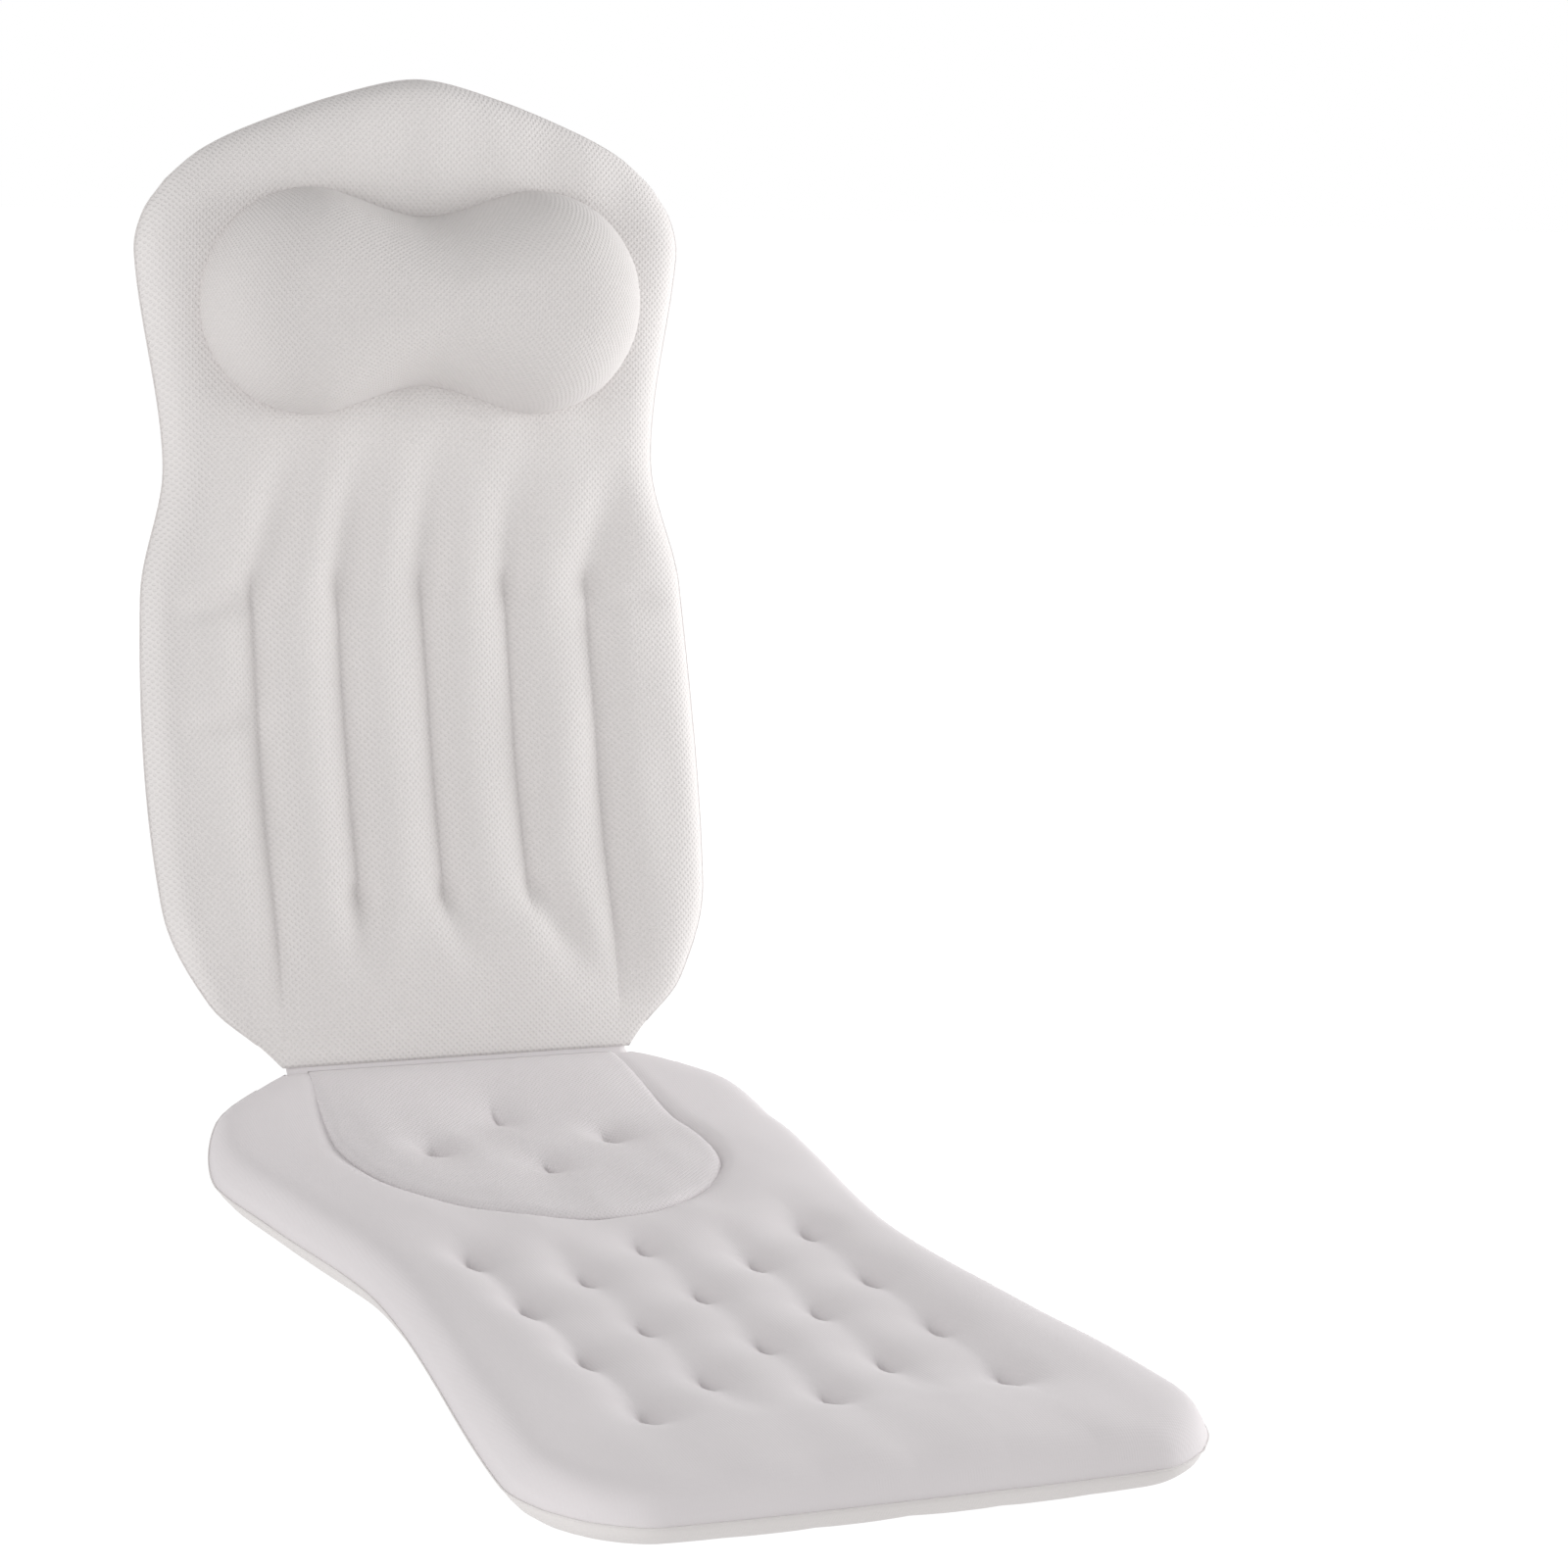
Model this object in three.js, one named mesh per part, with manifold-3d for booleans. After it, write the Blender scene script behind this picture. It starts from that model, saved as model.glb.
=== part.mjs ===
// Full-body bath pillow: a quilted back panel with a head pillow, joined by a sewn fold
// to a tufted seat-and-leg panel. Both panels stand off the tub on suction cups.
// Millimetres, +Z up, +X across the bath, feet towards -Y. The legs lie flat and the back leans up.
import * as THREE from 'three';
import { mergeVertices } from 'three/addons/utils/BufferGeometryUtils.js';
import Module from 'manifold-3d';

const wasm = await Module();
wasm.setup();

// Cloth and clearances
const coverThickness = 1.6;
const fitGap = 0.3;
const levelTolerance = 0.01;

// Fold between the panels
const foldHeight = 66;
const foldBeadRadius = 2;
const foldBeadSides = 10;
const waistHalfWidth = 119;
const backLean = 14;

// Rounded edges and crowns of both panels
const edgeRadius = 26;
const crownRadius = 85;
const crownShare = 0.28;
const edgeRowInner = 18;
const edgeRowOuter = 6;

// Leg panel
const hipHalfWidth = 193;
const hipStation = 90;
const hipTurn = [[0.15, 0.23], [0.45, 0.78]];
const thighHalfWidth = 185;
const thighStation = 175;
const kneeHalfWidth = 166;
const kneeStation = 320;
const footHalfWidth = 203;
const footCornerRadius = 78;
const legLength = 675;
const legTopRise = 22;
const legSeamHeight = 24;
const legFoldRun = 95;
const legBottomRadius = 24;

// Back panel
const wingHalfWidth = 187;
const wingStation = 105;
const wingTurn = [[0.15, 0.2], [0.4, 0.62]];
const wingTopStation = 292;
const neckHalfWidth = 169;
const neckDrop = 242;
const shoulderHalfWidth = 187;
const shoulderDrop = 110;
const roofCornerIn = 20;
const roofCornerDrop = 65;
const roofBreakHalfWidth = 112;
const roofBreakDrop = 31;
const roofCrestHalfWidth = 51;
const roofCrestDrop = 10;
const backLength = 632;
const backFrontRise = 20;
const backRearRise = 18;
const backBow = 42;
const backFoldRun = 95;
const backRearRadius = 24;

// Sewn channels of the back
const channelPitch = 58;
const channelDepth = 14;
const channelWidth = 13;
const channelShoulder = 0.3;
const channelBottom = 95;
const outerChannelBottom = 30;
const channelTop = 316;
const channelFade = 24;

// Tufts of the legs and of the seat
const tuftPitchAcross = 53.5;
const tuftPitchAlong = 85.5;
const tuftFirstStation = 305;
const tuftRows = 7;
const tuftDepth = 13;
const tuftRadius = 17;
const seatTuftSpread = 58;
const seatTuftStation = 113;
const seatTuftReach = 46;
const seatTuftDepth = 10;

// Seat panel set into the leg cover
const seatFoldHalfWidth = 104;
const seatHalfWidth = 117;
const seatWideStation = 130;
const seatLength = 262;
const seatSeamDepth = 5;
const seatSeamWidth = 13;

// Head pillow
const pillowDrop = 142;
const pillowHalfLength = 150;
const pillowLobeRadius = 72;
const pillowWaistHalfHeight = 54;
const pillowRise = 62;
const pillowEdgeRadius = 58;
const pillowPoints = 36;
const pillowRings = [0.95, 0.82, 0.62, 0.34];
const pillowSkirt = 60;

// Suction cups
const cupRimRadius = 20;
const cupRimWidth = 2.5;
const cupHollow = 3.4;
const cupStandoff = 9;
const cupHubRadius = 7;
const cupBellShare = 0.6;
const cupNeckRadius = 4;
const cupHeadRadius = 8;
const cupHeadThickness = 2.4;
const cupClearance = 0.4;
const cupSides = 12;
const legCupSpread = 112;
const legCupFirst = 88;
const legCupFootDrop = 105;
const backCupSpread = 112;
const backCupFirst = 80;
const backCupTopDrop = 132;
const cupRows = 4;

// Finishes
const meshCloth = { color: 0xd9d4d1, roughness: 0.95, metalness: 0 };
const knitCloth = { color: 0xd6d1d3, roughness: 0.9, metalness: 0 };
const wadding = { color: 0xf1efec, roughness: 1, metalness: 0 };
const softVinyl = { color: 0xdfe6e8, roughness: 0.25, metalness: 0 };

// Sizes that follow from the ones above
const coreInset = coverThickness + fitGap;
const seamHalfGap = fitGap / 2;
const foldEdge = foldBeadRadius + fitGap;
const foldLip = coverThickness + seamHalfGap;
const foldDrop = coverThickness + fitGap;
const neckStation = backLength - neckDrop;
const shoulderStation = backLength - shoulderDrop;
const pillowStation = backLength - pillowDrop;
const legCupLast = legLength - legCupFootDrop;
const backCupLast = backLength - backCupTopDrop;
const cupShoulder = cupStandoff - cupClearance;
const cupHeadFoot = cupStandoff + coverThickness + cupClearance;
const cupHeadTop = cupHeadFoot + cupHeadThickness;

// Smooth curve through a few (station, value) pairs, read as a function of the station.
function curveThrough(pairs) {
  const last = pairs.length - 1;
  const slopes = pairs.map((pair, i) => {
    const [s0, v0] = pairs[Math.max(i - 1, 0)];
    const [s1, v1] = pairs[Math.min(i + 1, last)];
    return (v1 - v0) / (s1 - s0);
  });
  return (station) => {
    const s = THREE.MathUtils.clamp(station, pairs[0][0], pairs[last][0]);
    const i = Math.max(pairs.findIndex((pair) => pair[0] >= s), 1);
    const [s0, v0] = pairs[i - 1];
    const [s1, v1] = pairs[i];
    const run = s1 - s0;
    const t = (s - s0) / run;
    const rise = (3 - 2 * t) * t * t;
    const bend = slopes[i - 1] * t * (1 - t) ** 2 - slopes[i] * t * t * (1 - t);
    return v0 + (v1 - v0) * rise + run * bend;
  };
}

// The same curve over both halves of a symmetric shape.
function mirroredCurve(pairs) {
  const left = pairs.slice(1).map(([s, v]) => [-s, v]).reverse();
  return curveThrough([...left, ...pairs]);
}

// Quarter-round rise from 0 at an edge to 1 at the radius.
function roundRise(depth, radius) {
  const t = THREE.MathUtils.clamp(depth / radius, 0, 1);
  return Math.sqrt(1 - (1 - t) ** 2);
}

// Bell-shaped dip, 1 at the middle.
function bell(distance, width) {
  return Math.exp(-((distance / width) ** 2));
}

// Distance from a flat point to the nearest segment of a line of flat points.
function distanceToLine(x, y, line) {
  const point = new THREE.Vector3(x, y, 0);
  const nearest = new THREE.Vector3();
  let best = Infinity;
  for (let i = 1; i < line.length; i += 1) {
    const start = new THREE.Vector3(line[i - 1].x, line[i - 1].y, 0);
    const end = new THREE.Vector3(line[i].x, line[i].y, 0);
    new THREE.Line3(start, end).closestPointToPoint(point, true, nearest);
    best = Math.min(best, nearest.distanceTo(point));
  }
  return best;
}

// Evenly spaced numbers from one value to another, without the first.
function steps(from, to, count) {
  return Array.from({ length: count }, (_, i) => from + ((to - from) * (i + 1)) / count);
}

function indexedGeometry(positions, index) {
  const geometry = new THREE.BufferGeometry();
  geometry.setAttribute('position', new THREE.Float32BufferAttribute(positions, 3));
  geometry.setIndex(index);
  return geometry;
}

// Splits grid squares along the diagonal that stands further out, as cloth does over its filling.
function ridgeSplit(points, side) {
  const middle = (points[0].length - 1) / 2;
  return (i, j) => {
    const rising = points[i][j].z + points[i + 1][j + 1].z;
    const falling = points[i][j + 1].z + points[i + 1][j].z;
    const level = Math.abs(rising - falling) < levelTolerance;
    return level ? j < middle : side * (rising - falling) > 0;
  };
}

// Closed body between two grids of points that share rows and columns.
function bodyBetween(upper, lower, upperSplit, lowerSplit = upperSplit) {
  const rows = upper.length;
  const columns = upper[0].length;
  const positions = [...upper.flat(), ...lower.flat()].flatMap((p) => [p.x, p.y, p.z]);
  const up = (i, j) => i * columns + j;
  const down = (i, j) => rows * columns + up(i, j);
  const index = [];
  for (let i = 0; i < rows - 1; i += 1) {
    for (let j = 0; j < columns - 1; j += 1) {
      if (upperSplit(i, j)) {
        index.push(up(i, j), up(i, j + 1), up(i + 1, j + 1));
        index.push(up(i, j), up(i + 1, j + 1), up(i + 1, j));
      } else {
        index.push(up(i, j), up(i, j + 1), up(i + 1, j));
        index.push(up(i, j + 1), up(i + 1, j + 1), up(i + 1, j));
      }
      if (lowerSplit(i, j)) {
        index.push(down(i, j), down(i + 1, j + 1), down(i, j + 1));
        index.push(down(i, j), down(i + 1, j), down(i + 1, j + 1));
      } else {
        index.push(down(i, j), down(i + 1, j), down(i, j + 1));
        index.push(down(i, j + 1), down(i + 1, j), down(i + 1, j + 1));
      }
    }
  }
  const rim = [];
  for (let j = 0; j < columns - 1; j += 1) rim.push([0, j]);
  for (let i = 0; i < rows - 1; i += 1) rim.push([i, columns - 1]);
  for (let j = columns - 1; j > 0; j -= 1) rim.push([rows - 1, j]);
  for (let i = rows - 1; i > 0; i -= 1) rim.push([i, 0]);
  rim.forEach(([i, j], k) => {
    const [a, b] = rim[(k + 1) % rim.length];
    index.push(up(i, j), down(i, j), down(a, b));
    index.push(up(i, j), down(a, b), up(a, b));
  });
  return indexedGeometry(positions, index);
}

// Closed body from rings of points, stacked upwards and capped to a point at both ends.
function bodyOfRings(rings, bottom, top) {
  const around = rings[0].length;
  const positions = [...rings.flat(), bottom, top].flatMap((p) => [p.x, p.y, p.z]);
  const at = (ring, k) => ring * around + (k % around);
  const bottomIndex = rings.length * around;
  const topIndex = bottomIndex + 1;
  const index = [];
  for (let k = 0; k < around; k += 1) {
    index.push(at(0, k + 1), at(0, k), bottomIndex);
    index.push(at(rings.length - 1, k), at(rings.length - 1, k + 1), topIndex);
    for (let ring = 0; ring < rings.length - 1; ring += 1) {
      index.push(at(ring, k), at(ring, k + 1), at(ring + 1, k + 1));
      index.push(at(ring, k), at(ring + 1, k + 1), at(ring + 1, k));
    }
  }
  return indexedGeometry(positions, index);
}

// Geometry to a solid that can be cut, and back.
function toSolid(geometry) {
  const bare = new THREE.BufferGeometry();
  bare.setAttribute('position', geometry.getAttribute('position').clone());
  bare.setIndex(geometry.getIndex());
  const merged = mergeVertices(bare, 1e-4);
  const vertProperties = new Float32Array(merged.getAttribute('position').array);
  const triVerts = new Uint32Array(merged.getIndex().array);
  return new wasm.Manifold(new wasm.Mesh({ numProp: 3, vertProperties, triVerts }));
}

function toGeometry(solid) {
  const mesh = solid.getMesh();
  return indexedGeometry(Array.from(mesh.vertProperties), Array.from(mesh.triVerts));
}

// The main body of a cut solid, without loose slivers.
function largestBody(solid) {
  const bodies = solid.decompose();
  return bodies.reduce((best, body) => (body.volume() > best.volume() ? body : best));
}

function namedMesh(name, geometry, finish) {
  geometry.computeVertexNormals();
  const mesh = new THREE.Mesh(geometry, new THREE.MeshStandardMaterial(finish));
  mesh.name = name;
  return mesh;
}

// A quilted panel lies in its own frame: x across, y along it from the fold, z towards the bather.
// The fold line is its origin. The sheet is the level of its edge seam.
class QuiltedPanel {
  constructor(options) {
    Object.assign(this, options);
    this.grid = this.rows.map((station) => this.gridRow(station));
    this.sideLine = this.grid.map((row) => row[row.length - 1]);
    this.endLine = this.grid[this.grid.length - 1];
  }

  // Columns keep their place across the panel where it is wide, and draw in at the waist.
  columnsAt(station) {
    const half = this.halfWidth(station);
    const inner = this.columns[this.columns.length - 1];
    const scale = Math.min(1, (half - edgeRowInner - edgeRowOuter) / inner);
    const right = this.columns.map((x) => x * scale);
    right.push(half - edgeRowInner, half - edgeRowOuter, half);
    return [...right.slice(1).reverse().map((x) => -x), ...right];
  }

  // Rows run straight across up to the bend station, then follow the rounded end more and more.
  gridRow(station) {
    const length = this.rows[this.rows.length - 1];
    const share = Math.max(0, (station - this.bendStation) / (length - this.bendStation));
    const side = share > 0 ? this.bendStation + share * (this.cornerStation - this.bendStation) : station;
    const half = this.halfWidth(side);
    return this.columnsAt(side).map((x) => {
      const end = this.endAt((x / half) * this.cornerHalfWidth);
      const y = share > 0 ? this.bendStation + share * (end - this.bendStation) : station;
      return new THREE.Vector2(x, y);
    });
  }

  // Distance to the sewn side and end edges.
  edgeDepth(x, y) {
    const side = distanceToLine(Math.abs(x), y, this.sideLine);
    return Math.min(side, distanceToLine(x, y, this.endLine));
  }

  frontHeight(x, y) {
    const depth = this.edgeDepth(x, y);
    const edge = roundRise(depth, edgeRadius);
    const crown = (1 - crownShare) * edge + crownShare * roundRise(depth, crownRadius);
    const ramp = THREE.MathUtils.smoothstep(y, foldEdge, this.foldRun);
    const rise = foldLip + (this.frontRise - foldLip) * ramp;
    return this.sheet(y) + seamHalfGap + (rise - seamHalfGap) * crown - this.dips(x, y) * edge * ramp;
  }

  rearHeight(x, y) {
    const depth = Math.min(this.edgeDepth(x, y), y - foldEdge);
    const drop = this.rearDrop(y) - seamHalfGap;
    return this.sheet(y) - seamHalfGap - drop * roundRise(depth, this.rearRadius);
  }

  surface(height) {
    return this.grid.map((row) => row.map((p) => new THREE.Vector3(p.x, p.y, height(p.x, p.y))));
  }

  // Outward direction of the cloth at a grid point, level with the sheet along the sewn edges.
  normalAt(points, i, j, side) {
    const lastRow = points.length - 1;
    const lastColumn = points[0].length - 1;
    if (i === 0 && j > 0 && j < lastColumn) {
      return side > 0 ? new THREE.Vector3(0, 0, 1) : new THREE.Vector3(0, -1, 0);
    }
    const row = points[i];
    const across = row[Math.min(j + 1, lastColumn)].clone().sub(row[Math.max(j - 1, 0)]);
    const along = points[Math.min(i + 1, lastRow)][j].clone().sub(points[Math.max(i - 1, 0)][j]);
    const outward = new THREE.Vector3();
    if (j === lastColumn) outward.add(new THREE.Vector3(along.y, -along.x, 0).normalize());
    if (j === 0) outward.add(new THREE.Vector3(-along.y, along.x, 0).normalize());
    if (i === lastRow) outward.add(new THREE.Vector3(-across.y, across.x, 0).normalize());
    if (outward.lengthSq() > 0) return outward.normalize();
    return across.cross(along).normalize().multiplyScalar(side);
  }

  // Surface drawn in from the outside of the cloth. The front cover stays above the edge seam.
  inset(points, distance, side) {
    return points.map((row, i) =>
      row.map((p, j) => {
        const point = p.clone().addScaledVector(this.normalAt(points, i, j, side), -distance);
        const floor = this.sheet(point.y) + seamHalfGap + coverThickness - distance;
        if (side > 0) point.z = Math.max(point.z, floor);
        return point;
      }),
    );
  }

  // Outer surface of the core: clear of a cover, with a blunt rim drawn in from the edge seam.
  coreSurface(points, side) {
    const lastRow = points.length - 1;
    return points.map((row, i) =>
      row.map((p, j) => {
        const rim = i === 0 || i === lastRow || j === 0 || j === row.length - 1;
        const depth = rim ? 2 * coreInset : coreInset;
        const point = p.clone().addScaledVector(this.normalAt(points, i, j, side), -depth);
        if (rim) point.z = p.z + side * fitGap;
        if (i === 0) point.y = p.y + 2 * coreInset;
        return point;
      }),
    );
  }

  // Front cover, rear cover and the core between them, with the space in front of the core filled.
  solids() {
    const front = this.surface((x, y) => this.frontHeight(x, y));
    const rear = this.surface((x, y) => this.rearHeight(x, y));
    const over = ridgeSplit(front, 1);
    const under = ridgeSplit(rear, -1);
    const raised = this.inset(front, -fitGap, 1);
    const frontSpace = toSolid(bodyBetween(raised, this.inset(front, coreInset, 1), over));
    const rearSpace = toSolid(bodyBetween(this.inset(rear, coreInset, -1), rear, under));
    const rearCover = toSolid(bodyBetween(this.inset(rear, coverThickness, -1), rear, under));
    const coreFront = this.coreSurface(front, 1);
    const core = toSolid(bodyBetween(coreFront, this.coreSurface(rear, -1), over, under));
    const below = front.map((row) => row.map((p) => p.clone().setZ(p.z - pillowSkirt)));
    return {
      front: toSolid(bodyBetween(front, this.inset(front, coverThickness, 1), over)),
      rear: largestBody(rearCover.subtract(frontSpace)),
      core: largestBody(core.subtract(frontSpace).subtract(rearSpace)),
      frontEnvelope: toSolid(bodyBetween(raised, below, over)),
    };
  }

  // Frame of a suction cup: its rim plane stands off the rear cover, square to the cloth there.
  cupFrame(x, station) {
    const at = (dx, dy) => new THREE.Vector3(x + dx, station + dy, this.rearHeight(x + dx, station + dy));
    const across = at(cupHubRadius, 0).sub(at(-cupHubRadius, 0));
    const along = at(0, cupHubRadius).sub(at(0, -cupHubRadius));
    const inward = across.cross(along).normalize();
    const turn = new THREE.Quaternion().setFromUnitVectors(new THREE.Vector3(0, 0, 1), inward);
    const foot = at(0, 0).addScaledVector(inward, -cupStandoff);
    return new THREE.Matrix4().compose(foot, turn, new THREE.Vector3(1, 1, 1));
  }
}

// Places of the leg tufts, in staggered rows of three and two.
function legTuftPlaces() {
  const places = [];
  for (let row = 0; row < tuftRows; row += 1) {
    const station = tuftFirstStation + (row * tuftPitchAlong) / 2;
    const columns = row % 2 === 0 ? [-2, 0, 2] : [-1, 1];
    columns.forEach((column) => places.push([column * tuftPitchAcross, station]));
  }
  return places;
}

// Diamond of four tufts in the seat.
function seatTuftPlaces() {
  return [
    [-seatTuftSpread, seatTuftStation],
    [seatTuftSpread, seatTuftStation],
    [0, seatTuftStation - seatTuftReach],
    [0, seatTuftStation + seatTuftReach],
  ];
}

// Tongue-shaped outline of the seat panel, open at the fold, grown by a margin.
function seatShape(margin) {
  const half = seatHalfWidth + margin;
  const front = seatLength + margin;
  const corner = (seatWideStation + front) / 2;
  const shape = new THREE.Shape();
  shape.moveTo(seatFoldHalfWidth + margin, 0);
  shape.quadraticCurveTo(half, seatWideStation / 2, half, seatWideStation);
  shape.bezierCurveTo(half, corner, half / 2, front, 0, front);
  shape.bezierCurveTo(-half / 2, front, -half, corner, -half, seatWideStation);
  shape.quadraticCurveTo(-half, seatWideStation / 2, -seatFoldHalfWidth - margin, 0);
  return shape;
}

const legTufts = legTuftPlaces();
const seatTufts = seatTuftPlaces();
const seatSeam = seatShape(0).getPoints(8);
const lastTuftStation = tuftFirstStation + ((tuftRows - 1) * tuftPitchAlong) / 2;

// Seam level of the leg panel: flat under the legs, rising to the fold.
function legSheet(y) {
  const level = legSeamHeight - foldHeight;
  return THREE.MathUtils.lerp(-foldDrop, level, THREE.MathUtils.smoothstep(y, 0, legFoldRun));
}

function legDips(x, y) {
  const legs = legTufts.map(([tx, ty]) => tuftDepth * bell(Math.hypot(x - tx, y - ty), tuftRadius));
  const seat = seatTufts.map(([tx, ty]) => seatTuftDepth * bell(Math.hypot(x - tx, y - ty), tuftRadius));
  const seam = seatSeamDepth * bell(distanceToLine(x, y, seatSeam), seatSeamWidth);
  return Math.max(...legs, ...seat, seam);
}

// Outline points from the waist to the widest place, as shares of the run and of the widening.
function widening(turn, station, halfWidth) {
  const widthAt = (share) => THREE.MathUtils.lerp(waistHalfWidth, halfWidth, share);
  return turn.map(([run, share]) => [run * station, widthAt(share)]);
}

// Point of a corner arc that starts along the side and turns in by an angle.
function cornerPoint(halfWidth, length, radius, degrees) {
  const angle = THREE.MathUtils.degToRad(degrees);
  const inward = radius * (1 - Math.cos(angle));
  const along = length - radius * (1 - Math.sin(angle));
  return { halfWidth: halfWidth - inward, station: along };
}

function makeLegPanel() {
  const corner = (degrees) => cornerPoint(footHalfWidth, legLength, footCornerRadius, degrees);
  const middle = corner(45);
  const cornerStart = legLength - footCornerRadius;
  return new QuiltedPanel({
    halfWidth: curveThrough([
      [foldEdge, waistHalfWidth],
      ...widening(hipTurn, hipStation, hipHalfWidth),
      [hipStation, hipHalfWidth],
      [thighStation, thighHalfWidth],
      [kneeStation, kneeHalfWidth],
      [cornerStart, footHalfWidth],
      [corner(25).station, corner(25).halfWidth],
      [middle.station, middle.halfWidth],
    ]),
    endAt: mirroredCurve([
      [0, legLength],
      [corner(75).halfWidth, corner(75).station],
      [corner(60).halfWidth, corner(60).station],
      [middle.halfWidth, middle.station],
    ]),
    bendStation: lastTuftStation,
    cornerStation: middle.station,
    cornerHalfWidth: middle.halfWidth,
    columns: [0, 0.5, 1, 1.5, 2].map((k) => k * tuftPitchAcross),
    rows: [
      foldEdge,
      foldEdge + edgeRowOuter,
      foldEdge + edgeRowInner,
      ...steps(foldEdge + edgeRowInner, seatTuftStation - seatTuftReach, 2),
      ...steps(seatTuftStation - seatTuftReach, seatTuftStation + seatTuftReach, 4),
      ...steps(seatTuftStation + seatTuftReach, seatLength, 2),
      tuftFirstStation,
      ...steps(tuftFirstStation, lastTuftStation, 2 * (tuftRows - 1)),
      ...steps(lastTuftStation, legLength - edgeRowInner, 2),
      legLength - edgeRowOuter,
      legLength,
    ],
    sheet: legSheet,
    rearDrop: (y) => legSheet(y) + foldHeight - cupStandoff,
    rearRadius: legBottomRadius,
    frontRise: legTopRise,
    foldRun: legFoldRun,
    dips: legDips,
  });
}

// Seam level of the back panel, bowed away from the bather.
function backSheet(y) {
  const t = y / backLength;
  return -foldDrop - 4 * backBow * t * (1 - t);
}

// Five sewn channels. The outer two run on down to the fold.
function backDips(x, y) {
  const lines = [-2, -1, 0, 1, 2].map((k) => {
    const bottom = Math.abs(k) === 2 ? outerChannelBottom : channelBottom;
    const start = THREE.MathUtils.smoothstep(y, bottom - channelFade, bottom);
    const stop = 1 - THREE.MathUtils.smoothstep(y, channelTop, channelTop + channelFade);
    return channelDepth * bell(x - k * channelPitch, channelWidth) * start * stop;
  });
  return Math.max(...lines);
}

// Grid columns at each channel and at the shoulders beside it.
function channelColumns() {
  const shoulder = channelShoulder;
  const shares = [0, shoulder, 1 - shoulder, 1, 1 + shoulder, 2 - shoulder, 2];
  return shares.map((share) => share * channelPitch);
}

function makeBackPanel() {
  const cornerHalfWidth = shoulderHalfWidth - roofCornerIn;
  const cornerStation = backLength - roofCornerDrop;
  return new QuiltedPanel({
    halfWidth: curveThrough([
      [foldEdge, waistHalfWidth],
      ...widening(wingTurn, wingStation, wingHalfWidth),
      [wingStation, wingHalfWidth],
      [wingTopStation, wingHalfWidth],
      [neckStation, neckHalfWidth],
      [shoulderStation, shoulderHalfWidth],
      [cornerStation, cornerHalfWidth],
    ]),
    endAt: mirroredCurve([
      [0, backLength],
      [roofCrestHalfWidth, backLength - roofCrestDrop],
      [roofBreakHalfWidth, backLength - roofBreakDrop],
      [cornerHalfWidth, cornerStation],
    ]),
    bendStation: pillowStation,
    cornerStation,
    cornerHalfWidth,
    columns: channelColumns(),
    rows: [
      foldEdge,
      foldEdge + edgeRowOuter,
      foldEdge + edgeRowInner,
      outerChannelBottom,
      ...steps(outerChannelBottom, channelBottom, 2),
      ...steps(channelBottom, channelTop, 4),
      channelTop + channelFade,
      ...steps(channelTop + channelFade, pillowStation, 3),
      ...steps(pillowStation, backLength - edgeRowInner, 3),
      backLength - edgeRowOuter,
      backLength,
    ],
    sheet: backSheet,
    rearDrop: () => backRearRise,
    rearRadius: backRearRadius,
    frontRise: backFrontRise,
    foldRun: backFoldRun,
    dips: backDips,
  });
}

// Suction cups stand on their rim at z 0, with the neck and head above.
function turned(profile) {
  const points = profile.map(([radius, z]) => new THREE.Vector2(radius, z));
  return toSolid(new THREE.LatheGeometry(points, cupSides).rotateX(Math.PI / 2));
}

function turnedPlug(radius, height) {
  return turned([[0, 0], [radius, 0], [radius, height], [0, height]]);
}

function makeCup() {
  const hollowRadius = cupRimRadius - cupRimWidth;
  return turned([
    [0, cupHollow],
    [hollowRadius, 0],
    [cupRimRadius, 0],
    [(cupRimRadius + cupHubRadius) / 2, cupShoulder * cupBellShare],
    [cupHubRadius, cupShoulder],
    [cupNeckRadius, cupShoulder],
    [cupNeckRadius, cupHeadFoot],
    [cupHeadRadius, cupHeadFoot],
    [cupHeadRadius, cupHeadTop],
    [0, cupHeadTop],
  ]);
}

// Cuts the holes for a panel's cups and returns the cups as named meshes.
function fitCups(panel, solids, label, place) {
  const cup = makeCup();
  const neckHole = turnedPlug(cupNeckRadius + cupClearance, cupHeadTop);
  const headPocket = turnedPlug(cupHeadRadius + cupClearance, cupHeadTop + cupClearance);
  const sides = { left: place.leftSide, right: -place.leftSide };
  const stations = [place.first, ...steps(place.first, place.last, cupRows - 1)];
  return stations.flatMap((station, i) =>
    Object.entries(sides).map(([hand, side]) => {
      const frame = panel.cupFrame(side * place.spread, station);
      solids.rear = solids.rear.subtract(neckHole.transform(frame.elements));
      solids.core = solids.core.subtract(headPocket.transform(frame.elements));
      const mesh = namedMesh(`${label}_cup_${hand}_${i + 1}`, toGeometry(cup), softVinyl);
      mesh.applyMatrix4(frame);
      return mesh;
    }),
  );
}

// Splits the leg's top cover along the U seam into the seat panel and the cover round it.
function splitSeat(cover) {
  const depth = 2 * foldHeight;
  const cutter = (margin) => {
    const geometry = new THREE.ExtrudeGeometry(seatShape(margin), {
      depth,
      bevelEnabled: false,
      curveSegments: 8,
    });
    return toSolid(geometry.translate(0, 0, -foldHeight));
  };
  return {
    seat: cover.intersect(cutter(-seamHalfGap)),
    surround: cover.subtract(cutter(seamHalfGap)),
  };
}

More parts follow.
